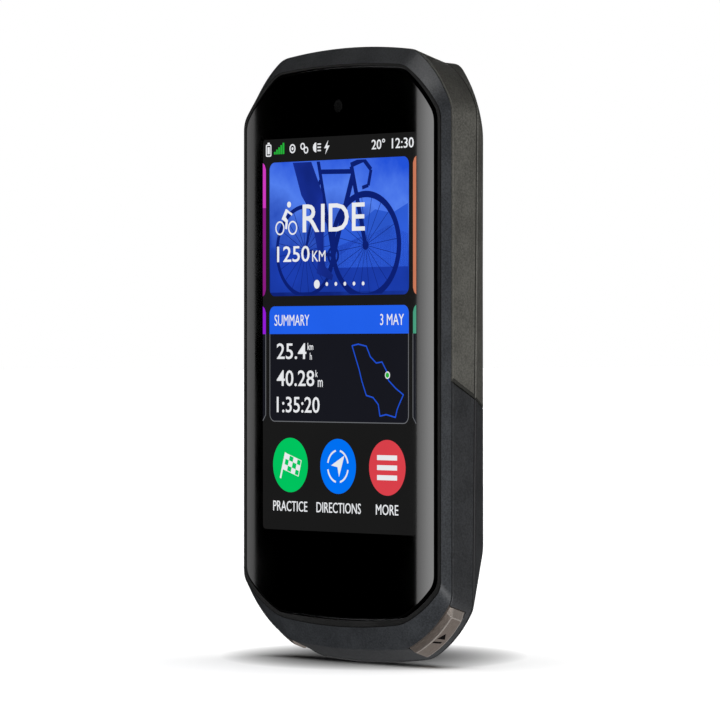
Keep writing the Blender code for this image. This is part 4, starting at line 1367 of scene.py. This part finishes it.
def word(ink, text, x, z, height, width=None, side="left", narrow=0.8, bold=0.0):
    """Flat lettering, this high, its left, middle or right at x and its foot at z."""
    mesh = lettering(text, bold)
    xs, ys = ([v.co[axis] for v in mesh.vertices] for axis in (0, 1))
    tall = height / (max(ys) - min(ys))
    wide = width / (max(xs) - min(xs)) if width else tall * narrow
    reach = wide * (max(xs) - min(xs))
    left = {"left": x, "middle": x - reach / 2, "right": x - reach}[side]
    top = LEVELS["ink"]
    flat = bmesh.new()
    flat.from_mesh(mesh)
    bmesh.ops.remove_doubles(flat, verts=flat.verts, dist=1e-5)
    for v in flat.verts:
        v.co = Vector((left + (v.co.x - min(xs)) * wide, top, z + (v.co.y - min(ys)) * tall))
    raised = bmesh.ops.extrude_face_region(flat, geom=list(flat.faces))["geom"]
    for v in [g for g in raised if isinstance(g, bmesh.types.BMVert)]:
        v.co.y += PLATE
    bmesh.ops.recalc_face_normals(flat, faces=flat.faces)
    solid = bpy.data.meshes.new("word")
    flat.to_mesh(solid)
    flat.free()
    sheet(ink).from_mesh(solid)
    bpy.data.meshes.remove(solid)
    bpy.data.meshes.remove(mesh)
    return left, left + reach


def status_bar():
    foot, tall, middle = 98.4, 1.95, 99.35
    battery = stadium(-21.85, -20.2, 98.0, 100.4, 0.35)
    band("white", battery, stadium(-21.6, -20.45, 98.25, 100.15, 0.15))
    plate("white", stadium(-21.35, -20.7, 98.5, 99.9, 0.1))
    plate("white", stadium(-21.35, -20.7, 100.45, 100.75, 0.1))
    for k in range(5):
        x = -19.35 + 0.66 * k
        plate("leaf", stadium(x, x + 0.48, foot, foot + 0.5 + 0.42 * k, 0.06))
    hoop("white", -13.7, middle, 0.75, 0.28)
    disc("white", -13.7, middle, 0.28, segments=20)
    hoop("white", -10.6, 99.7, 0.55, 0.26)
    hoop("white", -9.6, 98.95, 0.55, 0.26)
    plate("white", arc(-6.5, middle, 0.95, 90, 270))
    for k in (-1, 0, 1):
        z = middle + 0.62 * k
        stroke("white", (-6.1, z), (-5.1, z), 0.26)
    bolt = [(-2.9, 100.6), (-4.1, 99.1), (-3.35, 99.1), (-3.8, 97.95), (-2.5, 99.6), (-3.25, 99.6)]
    plate("white", bolt)
    word("white", "20°", 10.0, foot, tall, 3.9, bold=0.005)
    word("white", "12:30", 22.2, foot, tall, 6.3, "right", bold=0.005)


def rider_sign(x, z):
    """A small sign of someone on a bicycle."""
    for shift in (0.0, 3.9):
        hoop("white", x + 1.45 + shift, z + 1.45, 1.22, 0.3)
    disc("white", x + 4.25, z + 6.0, 0.58, segments=20)
    trunk = [(2.0, 3.2), (3.3, 5.2), (4.0, 4.9), (3.2, 3.6)]
    trunk += [(3.9, 2.9), (3.6, 1.2), (3.1, 1.3), (3.2, 2.6)]
    plate("white", [(x + a, z + b) for a, b in trunk])
    stroke("white", (x + 3.8, z + 4.7), (x + 5.2, z + 4.0), 0.42)


def clipped(points):
    """The part of a polygon of (x, z) points that lies on the picture card."""
    half, low, high = 20.55, 70.9, 96.6
    sides = (((1, 0), half), ((-1, 0), half), ((0, 1), high), ((0, -1), -low))
    for (across, up), limit in sides:
        inside = []
        reach = [x * across + z * up - limit for x, z in points]
        for k, (x, z) in enumerate(points):
            following = (k + 1) % len(points)
            if reach[k] <= 0:
                inside.append((x, z))
            if reach[k] * reach[following] < 0:
                share = reach[k] / (reach[k] - reach[following])
                px, pz = points[following]
                inside.append((x + (px - x) * share, z + (pz - z) * share))
        points = inside
        if len(points) < 3:
            return []
    return points


def painted(ink, points, level="front_art"):
    points = clipped(points)
    if points:
        plate(ink, points, level)


def painted_wheel(x, z, radius, tyre):
    """A spoked wheel of the picture, cut off where it leaves the card."""
    outer, inner = (arc(x, z, reach, 0, 360, 60) for reach in (radius, radius - tyre))
    for k in range(60):
        painted("deep", [outer[k], outer[k + 1], inner[k + 1], inner[k]])
    painted("deep", arc(x, z, 0.9, 0, 360, 20)[:-1])
    middle = Vector((x, z))
    for k in range(20):
        turn = math.radians(18 * k + 7)
        way = Vector((math.cos(turn), math.sin(turn)))
        painted("deep", stroke_outline(middle + way * 0.8, middle + way * (radius - tyre), 0.1))


BICYCLE = (  # its tubes, each with a start, an end and a width
    ((8.2, 80.2), (4.0, 95.4), 1.1),
    ((4.4, 93.6), (-1.4, 78.4), 1.3),
    ((-1.4, 78.4), (-9.8, 79.4), 0.7),
    ((-1.4, 78.4), (-6.0, 97.0), 0.9),
    ((-5.6, 94.6), (4.6, 94.4), 0.9),
    ((-9.8, 79.4), (-5.4, 93.0), 0.6),
    ((3.8, 95.6), (7.6, 96.6), 1.0),
    ((7.6, 96.6), (9.8, 94.6), 0.9),
    ((9.8, 94.6), (9.0, 91.6), 0.8),
    ((9.0, 91.6), (7.2, 91.2), 0.7),
    ((-1.4, 78.4), (-3.2, 74.4), 0.6),
)
LEG = (  # thigh, shin and foot
    [(-13.6, 96.6), (-8.0, 96.6), (-4.6, 90.4), (-5.6, 86.6), (-7.6, 86.2), (-11.0, 90.2)],
    [(-4.6, 90.4), (-4.2, 86.4), (-4.4, 77.4), (-5.5, 77.4), (-7.4, 84.0), (-7.6, 87.4)],
    [(-4.2, 77.6), (-5.9, 77.4), (-6.4, 75.0), (-1.8, 73.6), (-1.4, 74.6), (-3.6, 76.2)],
)


def first_card():
    rim = stadium(-CARD_HALF, CARD_HALF, *FIRST_CARD, CARD_RADIUS, 8)
    plate("picture", rim, "card")
    far_hill = [(-4.0, 82.6), (2.0, 85.2), (6.0, 84.4), (11.0, 87.0), (16.0, 86.2), (20.6, 88.0)]
    painted("haze", far_hill + [(20.6, 76.0), (-4.0, 76.0)], "art")
    low_hill = [(-20.6, 71.4), (-20.6, 78.2), (-15.0, 79.2), (-9.0, 77.9), (-2.0, 79.6)]
    low_hill += [(5.0, 81.4), (11.0, 82.6), (15.0, 83.9), (20.6, 82.2), (20.6, 71.4)]
    painted("shade", low_hill, "art")
    painted_wheel(-9.8, 79.4, 9.0, 0.8)
    painted_wheel(8.2, 80.2, 10.4, 1.25)
    for start, end, width in BICYCLE:
        painted("deep", stroke_outline(start, end, width))
    hoop("deep", -1.4, 78.4, 1.5, 0.5, "front_art")
    for part in LEG:
        painted("navy", part, "leg")
    rider_sign(-19.0, 82.5)
    word("white", "RIDE", -10.6, 83.0, 5.4, 18.6, bold=0.008)
    _, end = word("white", "1250", -18.4, 77.3, 3.1, 9.9, bold=0.006)
    word("white", "KM", end + 0.8, 77.3, 2.1, 4.0)
    disc("white", -6.3, 72.9, 0.85, segments=32)
    for k in range(5):
        disc("white", -3.3 + 2.7 * k, 72.9, 0.38, segments=20)


def second_card():
    low, high = SECOND_CARD
    line = 0.16
    body = stadium(-CARD_HALF, CARD_HALF, low, high, CARD_RADIUS, 8)
    plate("panel", body, "card")
    half = CARD_HALF - line
    band("grey", body, stadium(-half, half, low + line, high - line, 1.34, 8), "art")
    top = stadium(-CARD_HALF, CARD_HALF, HEADER_LOW, high, CARD_RADIUS, 8)
    header = top[: len(top) // 2] + [(-CARD_HALF, HEADER_LOW), (CARD_HALF, HEADER_LOW)]
    plate("header", header, "header")
    word("white", "SUMMARY", -19.2, 64.9, 2.15, 10.6)
    word("white", "3 MAY", 19.4, 64.9, 2.15, 6.9, "right")
    for text, foot, width, above, below in (
        ("25.4", 58.4, 9.0, "km", "h"),
        ("40.28", 53.15, 11.4, "k", "m"),
        ("1:35:20", 48.0, 13.0, "", ""),
    ):
        _, end = word("white", text, -18.5, foot, 3.1, width, bold=0.006)
        if above:
            word("white", above, end + 0.4, foot + 1.8, 1.35, narrow=0.75)
            word("white", below, end + 1.1, foot - 0.1, 1.35, narrow=0.75)
    track = [(4.2, 61.0), (6.0, 61.3), (8.4, 60.9), (9.6, 58.9), (11.3, 57.7), (13.0, 57.9)]
    track += [(14.3, 56.2), (14.9, 54.4), (17.0, 52.9), (19.2, 51.7), (18.2, 50.2), (17.4, 48.9)]
    track += [(16.9, 47.4), (14.2, 47.9), (12.4, 47.6), (11.9, 49.8), (10.4, 51.1), (8.4, 51.5)]
    track += [(7.1, 54.2), (6.3, 56.4), (5.2, 58.8)]
    for start, end in zip(track, track[1:] + track[:1]):
        stroke("route", start, end, 0.26, "art")
    for x, z in track:
        disc("route", x, z, 0.13, "art", 10)
    disc("white", 14.6, 55.4, 0.72, "art", 28)
    disc("leaf", 14.6, 55.4, 0.5, segments=24)


def flag_sign(x, z):
    """A chequered flag on its pole."""
    stroke("white", (x - 3.1, z - 2.6), (x - 1.5, z + 2.4), 0.42)
    across, down = Vector((1.18, -0.34)), Vector((-0.32, -1.05))
    start = Vector((x - 1.35, z + 2.3))

    def patch(cell, across, down):
        return [tuple(p) for p in (cell, cell + across, cell + across + down, cell + down)]

    ends = ((0.12, 0.12), (3.88, 0.12), (3.88, 2.88), (0.12, 2.88))
    inner = [tuple(start + across * a + down * b) for a, b in ends]
    band("white", patch(start, across * 4, down * 3), inner)
    for row in range(3):
        for column in range(4):
            if (row + column) % 2 == 0:
                plate("white", patch(start + across * column + down * row, across, down))


def compass_sign(x, z):
    for k in range(4):
        hoop("white", x, z, 3.05, 0.36, "ink", 90 * k + 12, 90 * k + 78, 20)
    arrow = ((1.9, 2.1), (-2.0, 0.15), (-0.1, -0.15), (0.35, -2.0))
    plate("white", [(x + a, z + b) for a, b in arrow])


def menu_sign(x, z):
    for k in (-1, 0, 1):
        height = z + 1.9 * k
        plate("white", stadium(x - 2.9, x + 2.9, height - 0.48, height + 0.48, 0.05))


def round_buttons():
    middle = 37.8
    for ink, x in (("green", -14.4), ("blue", 0.0), ("red", 14.5)):
        disc(ink, x, middle, 5.3, "card", 72)
    flag_sign(-14.3, middle)
    compass_sign(0.0, middle)
    menu_sign(14.5, middle)
    labels = ("PRACTICE", -14.4, 10.4), ("DIRECTIONS", 0.2, 13.2), ("MORE", 14.5, 6.5)
    for text, x, width in labels:
        word("white", text, x, 28.8, 2.0, width, "middle")


def neighbour_strips():
    """The edges of the next cards, left and right."""
    for upper_ink, lower_ink, side, (low, high) in (
        ("magenta", "plum", -1, FIRST_CARD),
        ("salmon", "salmon", 1, FIRST_CARD),
        ("purple", "panel", -1, SECOND_CARD),
        ("teal", "panel", 1, SECOND_CARD),
    ):
        second = high == SECOND_CARD[1]
        edge, inner = side * SCREEN_HALF, side * (SCREEN_HALF - 0.9)
        joint, corner = HEADER_LOW if second else 88.0, inner + side * 0.35
        upper = [(edge, joint), (edge, high), (corner, high - 0.4), (inner, high - 1.3)]
        lower = [(edge, low), (edge, joint), (inner, joint), (inner, low + 1.3)]
        plate(upper_ink, upper + [(inner, joint)], "card")
        plate(lower_ink, lower + [(corner, low + 0.4)], "card")
        if second:
            stroke("grey", (inner, joint), (inner, low + 1.3), 0.14, "art")
            stroke("grey", (inner, low + 1.3), (edge, low + 0.1), 0.14, "art")


def build_screen():
    whole = stadium(-SCREEN_HALF, SCREEN_HALF, SCREEN_LOW, SCREEN_HIGH, 0.9, 8)
    plate("backdrop", whole, "base")
    status_bar()
    first_card()
    second_card()
    round_buttons()
    neighbour_strips()
    for ink, bm in sheets.items():
        name = f"screen_{ink}"
        nodes = ("display_panel",) if ink == "backdrop" else ()
        publish(draft(bm), name, "display", *nodes, material=LOOKS[name])
    window = drafted(turned, [(1.25, 0.1), (1.25, 0.16)], into_depth(0, 107.1), 40)
    look = LOOKS["sensor_window"]
    publish(window, "sensor_window", "display", "light_sensor", material=look)


# Stage


# Each card's brightness at these X. The glass mirrors the two bands. It leaves out the wide
# softboxes, which would whiten all of it in other views.
CARDS = {
    "left_band": [
        (-930, 5.55),
        (-893, 5.5),
        (-889, 3.4),
        (-885.6, 2.1),
        (-879, 1.4),
        (-876.1, 1.2),
    ],
    "left_softbox": [(-1300, 6.0), (-930, 5.55)],
    "right_band": [(-769.7, 1.6), (-762, 3.6), (-754, 4.6), (-715, 4.76)],
    "right_softbox": [(-715, 4.76), (-420, 6.0)],
}
CARD_LOW, CARD_HIGH, CARD_DEPTH = -300, 700, -691
# Name, the direction it shines from, distance and width in metres, radiance.
LIGHTS = (
    ("key", (0.75, -0.57, -0.34), 1.5, 0.9, 11.2),
    ("top_shine", (-0.02, -0.57, 0.82), 1.2, 0.35, 15),
    ("back_fill", (-0.5, 0.78, 0.38), 1.5, 0.9, 9),
)
AMBIENT, FROM_BELOW = 0.025, 0.3
FLOOR_HALF = 12000
# The contact shadow's middle and half axes, in millimetres along and across the view.
SHADOW_MIDDLE, SHADOW_SIDE = 11.0, -5.4
SHADOW_ALONG, SHADOW_ACROSS = 44.0, 31.0
DARKEST, LIGHTEST = 0.075, 0.8
SIGHT_X, SIGHT_Y = -0.76168, 0.64795  # the way the camera looks, seen from above
SIGHT_TURN = math.atan2(-SIGHT_X, SIGHT_Y)


def flat_sheet(name, corners_mm):
    """A single upright or level sheet for the stage, from its corners in millimetres."""
    bm = bmesh.new()
    bm.faces.new([bm.verts.new(Vector(corner) * MM) for corner in corners_mm])
    return draft(bm, name)


def softbox(name, levels):
    """A glowing upright card, this bright at each X in millimetres."""
    x0, x1, depth = levels[0][0], levels[-1][0], CARD_DEPTH + FRONT
    sides = ((x0, CARD_LOW), (x1, CARD_LOW), (x1, CARD_HIGH), (x0, CARD_HIGH))
    card = flat_sheet(name, [(x, depth, z) for x, z in sides])
    material = bpy.data.materials.new(name)
    material.use_nodes = True
    nodes = Nodes(material.node_tree, clear=True)
    split = nodes.node("ShaderNodeSeparateXYZ")
    nodes.link(nodes.coordinates(), split.inputs["Vector"])
    share = nodes.spread(split.outputs["X"], 0.0, 1.0, x0 * MM, x1 * MM)
    stops = [((x - x0) / (x1 - x0), (level, level, level)) for x, level in levels]
    glow = nodes.node("ShaderNodeEmission")
    glow.inputs["Strength"].default_value = 1.0
    nodes.link(nodes.ramp(share, stops), glow.inputs["Color"])
    nodes.link(glow.outputs["Emission"], nodes.node("ShaderNodeOutputMaterial").inputs["Surface"])
    card.data.materials.append(material)
    card.visible_camera = card.visible_shadow = card.visible_diffuse = False
    return card


def area_light(name, way, distance, side, radiance):
    """A soft square light that shines on the object from this direction."""
    light = bpy.data.lights.new(name, "AREA")
    light.shape = "RECTANGLE"
    light.size = light.size_y = side
    light.energy = radiance * math.pi * side * side
    obj = linked(bpy.data.objects.new(name, light))
    way = Vector(way).normalized()
    obj.location = way * distance
    obj.rotation_euler = way.to_track_quat("Z", "Y").to_euler()
    obj.visible_camera = False
    return obj


def receivers(name, objects, state):
    """A light-linking collection that holds only these objects, or leaves only them out."""
    group = bpy.data.collections.new(name)
    for obj in objects:
        group.objects.link(obj)
    for entry in group.collection_objects:
        entry.light_linking.link_state = state
    return group


def build_world():
    """White behind the object. Its light is dark towards the front left, brighter from below."""
    world = bpy.data.worlds.new("studio")
    bpy.context.scene.world = world
    world.use_nodes = True
    nodes = Nodes(world.node_tree, clear=True)
    source = nodes.coordinates("Generated")

    def lobe(way, start, end, low, high):
        """Light that changes smoothly with the angle to a direction."""
        way = Vector(way).normalized()
        lean = nodes.combined("DOT_PRODUCT", source, way, kind="ShaderNodeVectorMath")
        return nodes.spread(lean, low, high, start, end, interpolation_type="SMOOTHSTEP")

    front = lobe((-0.45, -0.89, 0), -0.1, 0.5, AMBIENT, 0.0)
    below = lobe((0, 0.55, -0.83), 0.45, 0.95, 0.0, FROM_BELOW)
    lit, seen = (nodes.node("ShaderNodeBackground") for _ in range(2))
    for background in (lit, seen):
        background.inputs["Color"].default_value = (1, 1, 1, 1)
    seen.inputs["Strength"].default_value = 1.0
    nodes.link(nodes.combined("ADD", front, below), lit.inputs["Strength"])
    mix = nodes.node("ShaderNodeMixShader")
    seen_by_camera = nodes.node("ShaderNodeLightPath").outputs["Is Camera Ray"]
    ends = (seen_by_camera, lit.outputs["Background"], seen.outputs["Background"])
    for output, socket in zip(ends, mix.inputs):
        nodes.link(output, socket)
    nodes.link(mix.outputs["Shader"], nodes.node("ShaderNodeOutputWorld").inputs["Surface"])


def build_floor():
    """A level white floor with the contact shadow painted on it."""
    half, level = FLOOR_HALF, CAD_BOX[0].z / MM
    sides = ((-half, -half), (half, -half), (half, half), (-half, half))
    floor = flat_sheet("floor", [(x, y, level) for x, y in sides])
    recipe = Recipe("floor_white", 0.9, specular=0.0)
    shift = recipe.node("ShaderNodeMapping", vector_type="TEXTURE")
    middle = Vector((SIGHT_X, SIGHT_Y)) * SHADOW_MIDDLE * MM
    middle += Vector((SIGHT_Y, -SIGHT_X)) * SHADOW_SIDE * MM
    shift.inputs["Location"].default_value = (*middle, CAD_BOX[0].z)
    shift.inputs["Rotation"].default_value = (0, 0, SIGHT_TURN)
    shift.inputs["Scale"].default_value = (SHADOW_ACROSS * MM, SHADOW_ALONG * MM, 1)
    recipe.link(recipe.coordinates(), shift.inputs["Vector"])
    vector = shift.outputs["Vector"]
    length = recipe.combined("LENGTH", vector, kind="ShaderNodeVectorMath")
    fade = recipe.spread(length, 0.0, 1.0, 0.17, 0.98)
    squared = recipe.combined("MULTIPLY", fade, fade)
    recipe.colours(squared, [(0.0, (DARKEST,) * 3), (1.0, (LIGHTEST,) * 3)])
    floor.data.materials.append(recipe.material)
    floor.visible_glossy = floor.visible_diffuse = False
    return floor


def build_camera():
    camera = bpy.data.cameras.new("camera")
    camera.sensor_width = 36
    camera.lens = 232.3
    camera.shift_y = -0.0115
    camera.clip_start, camera.clip_end = 0.01, 50
    obj = linked(bpy.data.objects.new("camera", camera))
    obj.location = (0.68325, -0.5919, -0.00615)
    obj.rotation_euler = (math.pi / 2, 0, SIGHT_TURN)
    bpy.context.scene.camera = obj
    bpy.context.scene.view_settings.view_transform = "Standard"


def build_stage():
    build_world()
    floor = build_floor()
    names = ["glass", "sensor_window", *(f"screen_{ink}" for ink in sheets)]
    mirrors = [bpy.data.objects[name] for name in names]
    not_glass = receivers("all_but_glass", mirrors, "EXCLUDE")
    for name, levels in CARDS.items():
        card = softbox(name, levels)
        if name.endswith("softbox"):
            card.light_linking.receiver_collection = not_glass
    lit = receivers("all_but_floor_and_glass", [floor, *mirrors], "EXCLUDE")
    elsewhere = receivers("all_but_floor", [floor], "EXCLUDE")
    for settings in LIGHTS:
        light = area_light(*settings)
        light.light_linking.receiver_collection = lit
        light.light_linking.blocker_collection = elsewhere
        light.visible_glossy = light.name != "back_fill"
        light.visible_diffuse = light.name != "top_shine"
    sun = linked(bpy.data.objects.new("overhead", bpy.data.lights.new("overhead", "SUN")))
    sun.data.energy = 4.6
    sun.data.angle = math.radians(70)
    sun.light_linking.receiver_collection = receivers("only_floor", [floor], "INCLUDE")
    build_camera()


dress_nodes()
build_bezel()
build_glass()
build_shells()
build_key("start_stop", START_STOP, CORNER_BUILD, START_MARKS)
build_key("lap", LAP, CORNER_BUILD, LAP_MARKS)
build_key("power", POWER, POWER_BUILD, POWER_MARKS)
build_mount()
build_screws()
build_contacts()
build_lanyard_bar()
build_flap()
build_receptacle()
build_screen()
build_stage()
